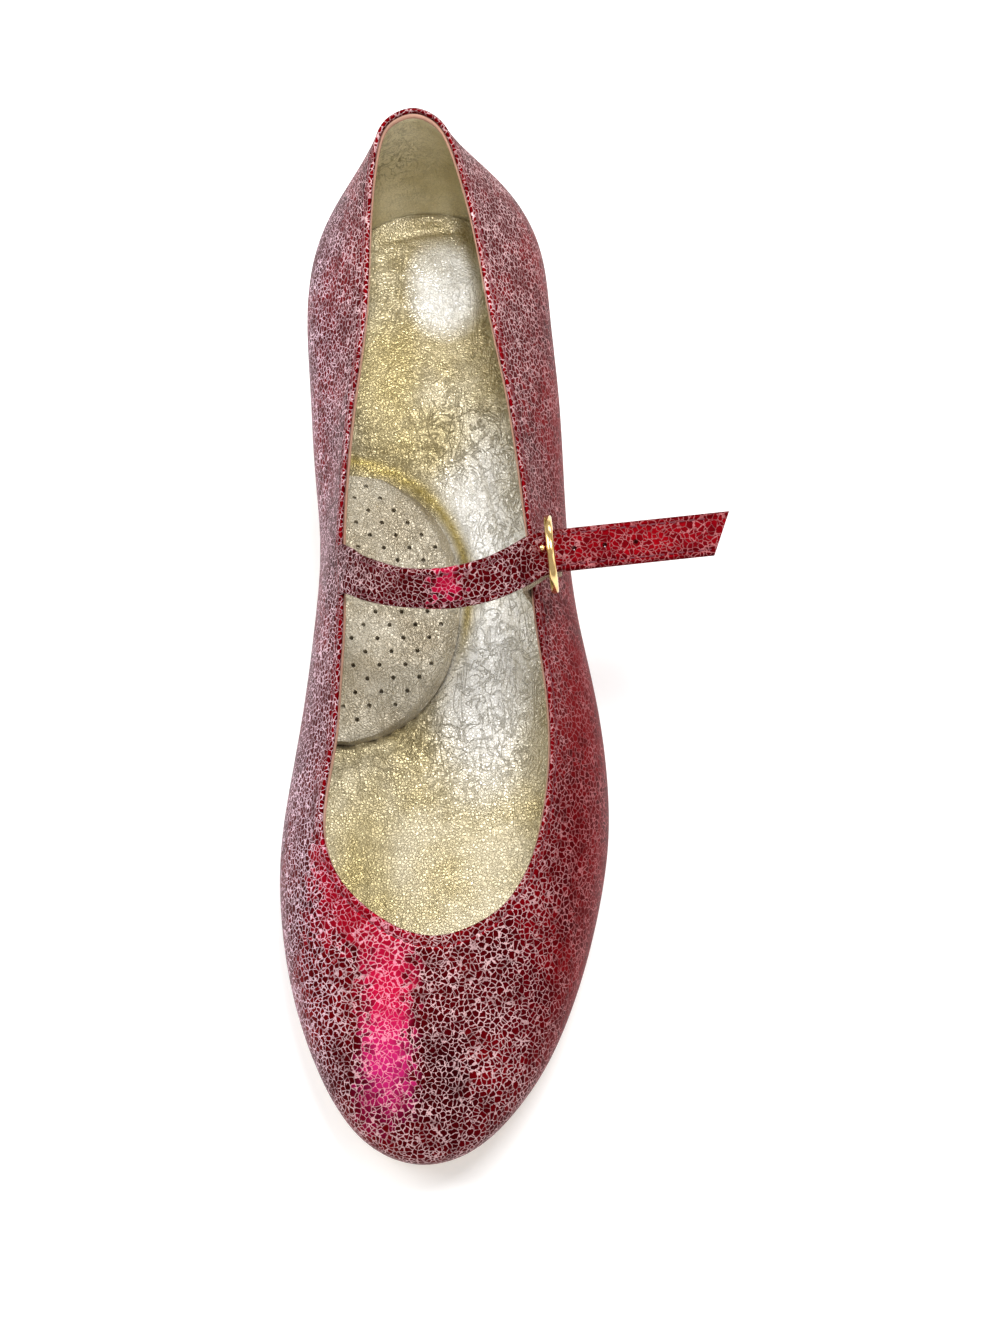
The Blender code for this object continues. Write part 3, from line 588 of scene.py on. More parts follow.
class Ribs:
    """The upper's ribs all the way round: heel back, inner side, toe tip, outer side."""

    def __init__(self):
        medial, lateral = knots_of("medial"), knots_of("lateral")
        values = closed_spline(medial + lateral[-2:0:-1], RIB_STEPS)
        values[:, 2] = [feather_height(HEEL_CENTRE - y) for y in values[:, 1]]
        self.out = outward_normals(values[:, :2])
        made = [resample(rib_profile(v, n)) for v, n in zip(values, self.out)]
        self.outer = np.array([profile for profile, below, total in made])
        self.below = np.array([below for profile, below, total in made])
        self.total = np.array([total for profile, below, total in made])
        self.normals = surface_normals(self.outer)
        self.foot = values[:, 2]
        self.station = HEEL_CENTRE - values[:, 1]
        self.count = len(values)
        self.half = self.count // 2

    def offset(self, rib, depth):
        return self.outer[rib] - self.normals[rib] * depth

    def inside(self, rib, height, clearance=GAP):
        profile = self.offset(rib, WALL + clearance)
        z = self.foot[rib] + height
        return np.array([np.interp(z, profile[:, 2], profile[:, axis]) for axis in (0, 1)] + [z])

    def feather(self, rib, inset=0.0, drop=0.0):
        return self.outer[rib, 0] - self.out[rib] * inset - np.array([0, 0, drop])

    def rib_near(self, side, station):
        tops = HEEL_CENTRE - self.outer[:, -1, 1]
        ribs = range(1, self.half) if side == "medial" else range(self.half + 1, self.count)
        return min(ribs, key=lambda rib: abs(tops[rib] - station))

    def beside(self, rib, y, depth):
        """The profile at that depth, mixed from two ribs so that its top is at that y."""
        tops = self.outer[:, -1, 1]
        step = 1 if (tops[(rib + 1) % self.count] - tops[rib]) * (y - tops[rib]) > 0 else -1
        while (tops[(rib + step) % self.count] - y) * (tops[rib] - y) > 0:
            rib = (rib + step) % self.count
        other = (rib + step) % self.count
        share = (y - tops[rib]) / (tops[other] - tops[rib])
        return mix(self.offset(rib, depth), self.offset(other, depth), share)

    def rungs(self, most=None):
        pairs = [(rib, (self.count - rib) % self.count) for rib in range(self.half + 1)]
        return [pair for pair in pairs if most is None or self.station[pair[0]] <= most]


def swell_heights(ribs):
    """How far the outer face stands out at each point of each rib, in metres."""
    heights = np.zeros(ribs.outer.shape[:2])
    share = 1 - ribs.below / ribs.total[:, None]
    along = HEEL_CENTRE - ribs.outer[:, :, 1]
    inner = np.zeros(ribs.count, bool)
    inner[1 : ribs.half] = True
    for swell in SWELLS:
        side = inner if swell.side == "medial" else ~inner
        lengthwise = (along - swell.station) * 1000 / swell.length
        up = (share - swell.share) * ribs.total[:, None] * 1000 / swell.width
        heights += side[:, None] * swell.height * 0.001 * np.exp(-(lengthwise**2) - up**2)
    heights -= GROOVE_DEPTH * np.exp(-(((ribs.below - STITCH_INSET) / GROOVE_WIDTH) ** 2))
    return heights


def upper_section(ribs, rib):
    """The outer leather's section: up the face, over the fold and down inside."""
    inner = ribs.offset(rib, OUTER_THICKNESS)
    out = ribs.normals[rib, -1]
    upward = unit(ribs.outer[rib, -1] - ribs.outer[rib, -2])
    middle = (ribs.outer[rib, -1] + inner[-1]) / 2
    fold = []
    for degrees in range(20, 180, 20):
        angle = math.radians(degrees)
        turn = out * math.cos(angle) + upward * FOLD_HEIGHT * math.sin(angle)
        fold.append(middle + OUTER_THICKNESS / 2 * turn)
    near = [point for point, below in zip(inner, ribs.below[rib]) if below < NEAR_DEPTH][::-1]
    rest = list(inner[: len(inner) - len(near)][::-1])[::3]
    return [*ribs.face[rib], *fold, *near, *rest, inner[0]]


def lining_section(ribs, rib):
    near = ribs.offset(rib, LINING_DEPTH)
    far = ribs.offset(rib, WALL)
    lined = [i for i, below in enumerate(ribs.below[rib]) if below >= LINING_DROP]
    lined = [i for i in lined if i % 2 == lined[-1] % 2]
    return [*(near[i] for i in lined), *(far[i] for i in reversed(lined))]


def make_upper(ribs):
    """The outer leather, folded over at the topline; the lining; and the lining's raw edge."""
    ribs.face = ribs.outer + ribs.normals * swell_heights(ribs)[:, :, None]
    every = range(ribs.count)
    faces = [upper_section(ribs, rib) for rib in every]
    leather = skin("upper_leather", faces, ring=True, replaces=["upper"])
    mark_rim(leather, ribs)
    skin("upper_lining", [lining_section(ribs, rib) for rib in every], ring=True)
    edges = [[at_depth(ribs, rib, depth, below) for depth, below in LINING_EDGE] for rib in every]
    skin("lining_edge", edges, ring=True)


def mark_rim(leather, ribs):
    """Weights for the folded band between the topline and its stitches."""
    tree = KDTree(ribs.count)
    for rib in range(ribs.count):
        tree.insert(ribs.outer[rib, -1], rib)
    tree.balance()
    rim = leather.data.attributes.new("rim", "FLOAT", "POINT")
    for number, vertex in enumerate(leather.data.vertices):
        away = tree.find(vertex.co)[2]
        rim.data[number].value = smooth((RIM_WIDTH + RIM_BLUR / 2 - away) / RIM_BLUR)


def at_depth(ribs, rib, depth, below):
    """The point that far below the topline and that deep in the wall."""
    return point_at(below, ribs.below[rib], ribs.offset(rib, depth))


def walk(points, pitch):
    """Places every pitch along a row of points, as an index with a fraction."""
    steps = np.linalg.norm(np.diff(points, axis=0), axis=1)
    run = np.concatenate([[0.0], np.cumsum(steps)])
    places = np.arange(pitch / 2, run[-1], pitch)
    return np.interp(places, run, np.arange(len(points)))


def between(rows, place):
    """The row of an array at an index with a fraction."""
    low = int(place)
    high = min(low + 1, len(rows) - 1)
    return mix(rows[low], rows[high], place - low)


def stitch_route(points, outs, place, per_metre):
    """One stitch as a short row of points that dips at both ends."""
    route = []
    for share, dip in STITCH_DIPS:
        spot = place + share * STITCH_LENGTH * per_metre
        spot = min(max(spot, 0), len(points) - 1)
        out = unit(between(outs, spot))
        route.append((between(points, spot) - out * dip * STITCH_RADIUS, out))
    return route


def stitches_along(points, outs, wanted=lambda point: True):
    """Stitches at an even pitch along a row of points, where they are wanted."""
    steps = np.linalg.norm(np.diff(points, axis=0), axis=1)
    routes = []
    for place in walk(points, STITCH_PITCH):
        if wanted(between(points, place)):
            per_metre = 1 / steps[min(int(place), len(steps) - 1)]
            routes.append(stitch_route(points, outs, place, per_metre))
    return routes


def make_topline_stitches(ribs):
    row = int(np.argmin(abs(ribs.below[0] - STITCH_INSET)))
    points = np.concatenate([ribs.face[:, row], ribs.face[:1, row]])
    outs = np.concatenate([ribs.normals[:, row], ribs.normals[:1, row]])
    root = ribs.outer[ribs.rib_near("medial", STRAP_STATION), -1]

    def clear_of_strap(point):
        return np.linalg.norm(point - root) >= STITCH_CLEARANCE

    routes = stitches_along(points, outs, clear_of_strap)
    rods("topline_stitches", routes, STITCH_RADIUS, sides=5)


# The sole and the heel


def across(first, second, steps):
    return [mix(first, second, step / steps) for step in range(steps + 1)]


def closed_section(inner, outer):
    """A section across the top, down the outer edge and back underneath, from two edges that run downwards."""
    top = across(inner[0], outer[0], SOLE_COLUMNS)
    bottom = across(outer[-1], inner[-1], SOLE_COLUMNS)
    return [*top, *outer[1:-1], *bottom, *inner[-2:0:-1]]


def make_outsole(ribs):
    """The sole with eased edges."""
    sections = []
    for rung in ribs.rungs():
        edges = [[ribs.feather(rib, inset, SOLE_GAP + drop) for inset, drop in SOLE_EDGE] for rib in rung]
        sections.append(closed_section(*edges))
    skin("sole_leather_piece", sections, caps=(False, False), replaces=["outsole"])


def heel_point(point, sign, breast, level, ease, z):
    """The point of the heel's side under a point of the sole, drawn in by its taper and its ease."""
    eased = 1 - (1 - level) ** 1.5
    x = point[0] * (1 - HEEL_TAPER * eased)
    y = breast + (point[1] - breast) * (1 - HEEL_BACK_SLANT * eased)
    return np.array([x + sign * ease * min(1, abs(x) / EASE_REACH), y, z])


def make_heel(ribs):
    """The covered heel block and its rubber walking face, both with eased edges."""
    drop = SOLE_GAP + SOLE_THICKNESS + GAP
    foot = TOP_PIECE + GAP
    rungs = ribs.rungs(HEEL_BREAST)
    breast = ribs.feather(rungs[-1][0], HEEL_INSET, drop)[1]
    covers, rubbers = [], []
    for rung in rungs:
        cover, rubber = [], []
        for rib, sign in zip(rung, (1, -1)):
            point = ribs.feather(rib, HEEL_INSET, drop)
            side = []
            for level, ease in HEEL_EDGE:
                side.append(heel_point(point, sign, breast, level, ease, mix(point[2], foot, level)))
            cover.append(side)
            rubber.append([heel_point(point, sign, breast, 1.0, ease, z) for ease, z in RUBBER_EDGE])
        covers.append(closed_section(*cover))
        rubbers.append(closed_section(*rubber))
    skin("heel_cover", covers, caps=(False, True), replaces=["heel_block"])
    skin("heel_rubber_piece", rubbers, caps=(False, True), replaces=["top_piece"])


# The insole


def arch_share(station):
    back, crest, front = 0.22 * LENGTH, 0.43 * LENGTH, 0.64 * LENGTH
    return smooth((station - back) / (crest - back)) * smooth((front - station) / (front - crest))


def floor_rise(station, share, width=1.0):
    edge = max(0.0, 1 - min(share, 1 - share) * width / CUP_WIDTH) ** 2
    cup = CUP_RISE * edge * mix(1.0, 0.4, smooth(station / TREAD_BACK))
    arch = ARCH_RISE * max(0.0, 1 - share / 0.5) ** 2 * arch_share(station)
    return WALL + GAP + INSOLE_THICKNESS + cup + arch


def floor_point(ribs, rung, share, lift=0.0):
    rib, facing = rung
    station = ribs.station[rib]
    ends = [ribs.inside(side, floor_rise(station, end)) for side, end in ((rib, 0.0), (facing, 1.0))]
    width = abs(ends[1][0] - ends[0][0])
    point = mix(ends[0], ends[1], share)
    point[2] = mix(ribs.foot[rib], ribs.foot[facing], share) + floor_rise(station, share, width) + lift
    return point


def pad_shape(station):
    """The pad's reach from the inner wall at a station, as a share of PAD_REACH."""
    half = PAD_LENGTH / 2
    return max(0.0, 1 - (abs(station - PAD_CENTRE) / half) ** 2.3) ** 0.45


def pad_distance(x, station, inner_x):
    """Roughly how far in mm a place lies outside the pad's rounded edge, and below zero inside it. The floor's
    inner edge is at inner_x."""
    half = PAD_LENGTH / 2
    along = abs(station - PAD_CENTRE) / half
    inward = max(x - inner_x - PAD_START, 0.0) / PAD_REACH
    size = (along**2.3 + inward**2.2) ** (1 / 2.25)
    return (size - 1) * min(half, PAD_REACH) * 1000


def pad_front(station):
    """From 0 at the pad's middle to 1 at its front."""
    return smooth((station - PAD_CENTRE) / PAD_FRONT_FADE)


def crease_height(x, station):
    """The creases' relief at a place of the insole, in metres."""
    px, ps = x * 1000, station * 1000
    total = 0.0
    for crease in CREASES:
        run_x, run_s = crease.x1 - crease.x0, crease.s1 - crease.s0
        length = math.hypot(run_x, run_s)
        along = ((px - crease.x0) * run_x + (ps - crease.s0) * run_s) / length**2
        if not -0.15 < along < 1.15:
            continue
        side = ((px - crease.x0) * run_s - (ps - crease.s0) * run_x) / length
        side -= crease.bow * 4 * along * (1 - along)
        if abs(side) > 4 * crease.width:
            continue
        fade = smooth((along + 0.15) / 0.3) * smooth((1.15 - along) / 0.3)
        total += crease.height * fade * math.exp(-((side / crease.width) ** 2))
    return total * 0.001


def welt_height(distance, station):
    """The roll of leather round the pad, and the dark gap along its front edge."""
    front = pad_front(station)
    roll = mix(0.95, 0.65, front) * math.exp(-(((distance - 3.2) / 1.9) ** 2))
    gap = -mix(0.45, 1.8, front) * math.exp(-(((distance - 0.35) / mix(0.7, 0.95, front)) ** 2))
    return (roll + gap) * 0.001


def insole_section(ribs, rung):
    rib, facing = rung
    station = ribs.station[rib]
    sides = []
    for side, end in ((rib, 0.0), (facing, 1.0)):
        heights = (WALL + GAP, floor_rise(station, end) - INSOLE_LIP)
        sides.append([ribs.inside(side, height) for height in heights])
    inner_x = floor_point(ribs, rung, 0.0)[0]
    top = []
    for step in range(INSOLE_COLUMNS + 1):
        share = step / INSOLE_COLUMNS
        point = floor_point(ribs, rung, share)
        away = min(share, 1 - share)
        here = HEEL_CENTRE - point[1]
        lift = crease_height(point[0], here) + welt_height(pad_distance(point[0], here, inner_x), here)
        point[2] += lift * smooth(away * 14) - INSOLE_EASE * (1 - smooth(away * 40))
        top.append(point)
    bottom = across(sides[1][0], sides[0][0], INSOLE_COLUMNS // 8)[1:-1]
    return [*sides[0], *top, *reversed(sides[1]), *bottom]


def make_insole(ribs):
    """The footbed, with its creases, the roll of leather round the pad, and eased edges."""
    sections = [insole_section(ribs, rung) for rung in ribs.rungs()]
    insole = skin("insole_leather", sections, caps=(False, False), replaces=["insole"])
    mark_insole(insole, ribs)


def mark_insole(insole, ribs):
    """Weights for the painted shade on the roll round the pad and in the gap beside it."""
    rungs = ribs.rungs()
    stations = [ribs.station[rung[0]] for rung in rungs]
    inner_x = [floor_point(ribs, rung, 0.0)[0] for rung in rungs]
    roll = insole.data.attributes.new("roll", "FLOAT", "POINT")
    gap = insole.data.attributes.new("gap", "FLOAT", "POINT")
    for number, vertex in enumerate(insole.data.vertices):
        station = HEEL_CENTRE - vertex.co.y
        distance = pad_distance(vertex.co.x, station, np.interp(station, stations, inner_x))
        front = pad_front(station)
        roll.data[number].value = mix(1.0, 0.25, front) * math.exp(-(((distance - 2.4) / 1.9) ** 2))
        gap.data[number].value = mix(0.35, 1.0, front) * math.exp(-(((distance - 0.2) / 0.75) ** 2))


def pad_section(ribs, rung):
    fullness = pad_shape(ribs.station[rung[0]])
    inner, outer = floor_point(ribs, rung, 0.0), floor_point(ribs, rung, 1.0)
    reach = PAD_REACH * fullness / (outer[0] - inner[0])
    shares = across(PAD_FIRST_SHARE, PAD_FIRST_SHARE + reach, PAD_COLUMNS)
    bottom = [floor_point(ribs, rung, share, -PAD_SINK) for share in shares]
    top = []
    for step, share in enumerate(shares):
        place = step / PAD_COLUMNS
        inset = min(place, 1 - place)
        crown = PAD_CROWN * fullness * math.sin(math.pi * place) ** 0.7
        point = floor_point(ribs, rung, share, PAD_EDGE + crown - PAD_ROUNDING * (1 - smooth(inset * 9)))
        ripple = math.sin(point[0] * 900 + 2.2 * math.sin(point[1] * 260))
        ripple *= math.sin(point[1] * 330 + point[0] * 150)
        point[2] += RIPPLE_HEIGHT * ripple * smooth(inset * 6)
        top.append(point)
    return [*bottom, *reversed(top)]


def make_pad(ribs):
    """The perforated cushion, crowned, with soft wrinkles across it."""
    half = PAD_LENGTH / 2 * 0.995
    rungs = [rung for rung in ribs.rungs() if abs(ribs.station[rung[0]] - PAD_CENTRE) < half]
    sections = [pad_section(ribs, rung) for rung in rungs]
    pad = skin("arch_cushion", sections, replaces=["arch_pad"])
    pad.data.materials.append(MATERIALS["pad_leather"])
    pierce_pad(ribs, pad)


def pinhole_places(ribs):
    """The pad's pinholes in a square pattern that is turned to the shoe, clear of the pad's edges."""
    first = np.array([math.cos(PINHOLE_TURN), math.sin(PINHOLE_TURN)]) * PINHOLE_PITCH
    second = np.array([-math.sin(PINHOLE_TURN), math.cos(PINHOLE_TURN)]) * PINHOLE_PITCH
    places = []
    for i in range(-12, 13):
        for j in range(-12, 13):
            x, station = PINHOLE_START + first * i + second * j
            rung = min(ribs.rungs(), key=lambda pair: abs(ribs.station[pair[0]] - station))
            inner, outer = floor_point(ribs, rung, 0.0), floor_point(ribs, rung, 1.0)
            if pad_distance(x, station, inner[0]) > -PINHOLE_MARGIN * 1000:
                continue
            if x < inner[0] + 0.0055 or abs(station - PAD_CENTRE) > PAD_LENGTH * 0.44:
                continue
            share = (x - inner[0]) / (outer[0] - inner[0])
            z = floor_point(ribs, rung, share, PAD_EDGE)[2]
            places.append((x, HEEL_CENTRE - station, z + PAD_CROWN))
    return places


def pierce_pad(ribs, pad):
    cutters = bmesh.new()
    for place in pinhole_places(ribs):
        bmesh.ops.create_cone(
            cutters,
            cap_ends=True,
            segments=12,
            radius1=PINHOLE_RADIUS,
            radius2=PINHOLE_RADIUS,
            depth=PINHOLE_DEPTH,
            matrix=Matrix.Translation(place),
        )
    mesh = bpy.data.meshes.new("hole_cutters")
    cutters.to_mesh(mesh)
    cutters.free()
    holes = bpy.data.objects.new("hole_cutters", mesh)
    bpy.context.scene.collection.objects.link(holes)
    # The cutters' dark brown is painted shade for the holes' walls
    mesh.materials.append(MATERIALS["hole_shade"])
    cut(pad, holes)


# The strap and the buckle


class Buckle:
    """Where the buckle stands: its bar along the outer topline, and its ring upright."""

    def __init__(self, ribs):
        self.rib = ribs.rib_near("lateral", BUCKLE_STATION)
        box_low, box_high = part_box("buckle_frame")
        self.centre = (np.array(box_low) + np.array(box_high)) / 2
        turn = Matrix.Rotation(BUCKLE_YAW, 3, "Z")
        self.matrix = turn @ Matrix.Rotation(BUCKLE_PITCH, 3, "X") @ Matrix.Rotation(BUCKLE_TILT, 3, "Y")
        self.through = np.array(self.matrix @ Vector((1, 0, 0)))
        self.along = np.array(self.matrix @ Vector((0, 1, 0)))
        self.up = np.array(self.matrix @ Vector((0, 0, 1)))
        self.strap_rise = BAR_RADIUS + GAP + ELASTIC_THICKNESS + GAP + STRAP_THICKNESS / 2

    def place(self, through=0.0, along=0.0, up=0.0):
        return self.centre + self.through * through + self.along * along + self.up * up

    def to_world(self, middle):
        return Matrix.Translation(Vector(middle)) @ self.matrix.to_4x4()


def strap_path(ribs, buckle):
    rib = ribs.rib_near("medial", STRAP_STATION)
    rim_side = unit(ribs.outer[rib - 3, -1] - ribs.outer[rib + 3, -1])
    upward = unit(ribs.outer[rib, -1] - ribs.outer[rib, -6])
    root = ribs.outer[rib, -1] - ribs.normals[rib, -1] * STRAP_THICKNESS / 2 + upward * (WALL / 2 + GAP)
    rest = buckle.place(up=buckle.strap_rise)
    rise = np.array([0, -math.sin(STRAP_LEAN), math.cos(STRAP_LEAN)]) * STRAP_RISE
    arch_side = unit(np.cross(rise, rest - root))
    knots = [[*root, STRAP_ROOT[-1][1], *rim_side]]
    for row in STRAP_ROWS:
        side = mix(mix(rim_side, arch_side, smooth(row.across * 3)), buckle.along, row.turn)
        width = 1.0 + 0.06 * max(0.0, 1 - row.across * 12)
        knots.append([*(mix(root, rest, row.across) + rise * row.rise), width, *side])
    for share in (0.0, 0.1, 0.35, 0.7, 1.0):
        knots.append([*(rest + buckle.through * TAIL_LENGTH * share), 1.0, *buckle.along])
    return open_spline(knots, STRAP_STEPS)


def strap_outline():
    """The strap's whole cross-section, from its middle over one edge and the back to the other edge."""
    left = [(-s, n) for s, n in STRAP_HALF[1:]]
    return [*STRAP_HALF, (0.0, -0.5), *reversed(left)]


Frame = namedtuple("Frame", "middle forward side normal half")


def strap_frames(ribs, buckle):
    """The strap's rows, each with its middle, its three directions and its half width."""
    rows = strap_path(ribs, buckle)
    frames = []
    for row, tangent in zip(rows, np.gradient(rows[:, :3], axis=0)):
        forward = unit(tangent)
        side = unit(row[4:7] - forward * (row[4:7] @ forward))
        frames.append(Frame(row[:3], forward, side, np.cross(forward, side), STRAP_WIDTH / 2 * row[3]))
    return frames


def strap_root_section(ribs, rib, below, flare):
    """A section of the strap inside the wall, that far below the topline."""
    sunk = 0.55 if below > 0.001 else 0.85
    section = []
    for s, n in strap_outline():
        y = ribs.outer[rib, -1, 1] + STRAP_WIDTH / 2 * flare * s
        wall = ribs.beside(rib, y, (0.5 - n) * STRAP_THICKNESS * sunk - 0.00004)
        section.append(point_at(below, runs_to_end(wall), wall))
    return section


def strap_section(frame, to_end):
    """A free section of the strap. The last ones turn towards its slanted end."""
    slant = frame.forward * TAIL_CUT / 2 * smooth((STRAP_STEPS - to_end) / STRAP_STEPS)
    section = []
    for s, n in strap_outline():
        aside = (frame.side * frame.half + slant) * s
        section.append(frame.middle + aside + frame.normal * STRAP_THICKNESS * n)
    return section


def make_strap(ribs, buckle):
    """The strap, growing out of the inner side of the upper without a seam, its end cut aslant."""
    frames = strap_frames(ribs, buckle)
    rib = ribs.rib_near("medial", STRAP_STATION)
    sections = [strap_root_section(ribs, rib, below, flare) for below, flare in STRAP_ROOT]
    for number in range(FIRST_FREE_ROW, len(frames)):
        sections.append(strap_section(frames[number], len(frames) - 1 - number))
    strap = skin("strap_leather", sections, replaces=["strap"])
    strap.data.materials.append(MATERIALS["crackle_leather"])
    punch_strap(strap, buckle)
    make_strap_stitches(frames)


def punch_strap(strap, buckle):
    """The pin's holes. They narrow downwards, so that they look dark from above; their cutters carry a dark
    brown painted shade for the walls.
    """
    for step in range(-HOLES_INSIDE, HOLES_OUTSIDE + 1):
        bpy.ops.mesh.primitive_cone_add(
            vertices=20, radius1=HOLE_RADIUS * 0.1, radius2=HOLE_RADIUS * 1.1, depth=1.2 * STRAP_THICKNESS
        )
        hole = bpy.context.object
        hole.data.materials.append(MATERIALS["hole_shade"])
        middle = buckle.place(through=step * HOLE_PITCH - prong_foot(), up=buckle.strap_rise)
        hole.matrix_world = buckle.to_world(middle)
        cut(strap, hole)


def make_strap_stitches(frames):
    stitched = frames[FIRST_STITCHED_ROW : len(frames) - 3]
    outs = np.array([frame.normal for frame in stitched])
    routes = []
    for sign in (-1, 1):
        line = []
        for frame in stitched:
            aside = frame.side * frame.half * STITCH_TRACK * sign
            line.append(frame.middle + aside + frame.normal * STRAP_THICKNESS * 0.43)
        routes.extend(stitches_along(np.array(line), outs))
    rods("strap_stitches", routes, STITCH_RADIUS, sides=5)


def prong_foot():
    return BAR_RADIUS + GAP + PRONG_RADIUS


def rounded(value):
    """A sine or cosine pushed outwards, so that a circle becomes a square with round corners."""
    return math.copysign(abs(value) ** RING_ROUNDNESS, value)


def make_buckle(buckle):
    """The ring with a rounded face, and its bar."""
    middle, reach = (RING_OUTER + RING_INNER) / 2, (RING_OUTER - RING_INNER) / 2
    profile = []
    for k in range(RING_CORNERS):
        angle = 2 * math.pi * k / RING_CORNERS
        profile.append((middle + reach * rounded(math.cos(angle)), RING_DEPTH / 2 * rounded(math.sin(angle))))
    rings = []
    for k in range(RING_STEPS):
        angle = 2 * math.pi * k / RING_STEPS
        section = []
        for radius, depth in profile:
            section.append(buckle.place(depth, radius * math.cos(angle), radius * math.sin(angle)))
        rings.append(section)
    skin("buckle_ring", rings, ring=True, replaces=["buckle_frame"])
    route = [(buckle.place(along=RING_INNER * share * 1.02), buckle.up) for share in np.linspace(-1, 1, 9)]
    rods("buckle_bar", [route], BAR_RADIUS, sides=16)


def make_prong(buckle):
    """The pin, hooked round the bar, with a rounded tip on the ring."""
    loop = prong_foot()
    route = []
    for degrees in range(45, -181, -9):
        angle = math.radians(degrees)
        route.append((buckle.place(through=loop * math.cos(angle), up=loop * math.sin(angle)), buckle.along))
    face = RING_DEPTH / 2 + GAP + PRONG_RADIUS
    tip = (RING_INNER + RING_OUTER) / 2 + PRONG_RADIUS
    for share in (0.12, 0.3, 0.5, 0.7, 0.9, 0.97, 1.0):
        route.append((buckle.place(through=-mix(loop, face, share), up=tip * share), buckle.along))
    rods("buckle_pin", [route], PRONG_RADIUS, sides=14, replaces=["buckle_prong"])


def tape_rows(ribs, buckle):
    """The tape's middle surface, from its lower end over the topline and round the bar."""
    half = ELASTIC_THICKNESS / 2
    acrosses = [ELASTIC_WIDTH * (step / TAPE_COLUMNS - 0.5) for step in range(TAPE_COLUMNS + 1)]
    rows = []
    for share in np.linspace(1, 0, 12):
        row = []
        for along in acrosses:
            wall = ribs.beside(buckle.rib, buckle.place(along=along)[1], WALL + GAP + half)
            over = wall[-1] + unit(wall[-1] - wall[-6]) * (WALL / 2 + half)
            wall = np.array([*wall, over])
            z = over[2] - ELASTIC_DROP * share
            row.append([np.interp(z, wall[:, 2], wall[:, axis]) for axis in (0, 1)] + [z])
        rows.append(row)
    loop = []
    around = BAR_RADIUS + GAP + half
    for degrees in range(TAPE_START, -131, -10):
        angle = math.radians(degrees)
        through, up = around * math.cos(angle), around * math.sin(angle)
        loop.append([buckle.place(through, along, up) for along in acrosses])
    last, first = np.array(rows[-1]), np.array(loop[0])
    rows.extend(mix(last, first, share) for share in (0.15, 0.3, 0.45, 0.6, 0.75, 0.9))
    return np.array(rows + loop)


def make_elastic(ribs, buckle):
    """The ribbed tape, with a slit for the pin."""
    grid = tape_rows(ribs, buckle)
    normals = np.cross(np.gradient(grid, axis=0), np.gradient(grid, axis=1))
    normals /= np.linalg.norm(normals, axis=2)[:, :, None]
    turns = 2 * math.pi * np.arange(TAPE_COLUMNS + 1) / THREADS_PER_RIB
    thick = (ELASTIC_THICKNESS / 2 - TAPE_RIB + TAPE_RIB * np.cos(turns))[None, :, None]
    front, back = grid + normals * thick, grid - normals * thick
    sections = [[*f, *b[::-1]] for f, b in zip(front, back)]
    tape = skin("elastic_ribbed", sections, replaces=["elastic_tape"])
    reach = prong_foot() + PRONG_RADIUS + GAP
    bpy.ops.mesh.primitive_cube_add(size=1)
    slit = bpy.context.object
    size = Matrix.Diagonal((2.6 * reach, 2 * (PRONG_RADIUS + GAP), 2 * reach, 1))
    slit.matrix_world = buckle.to_world(buckle.centre) @ size
    cut(tape, slit)


# Materials


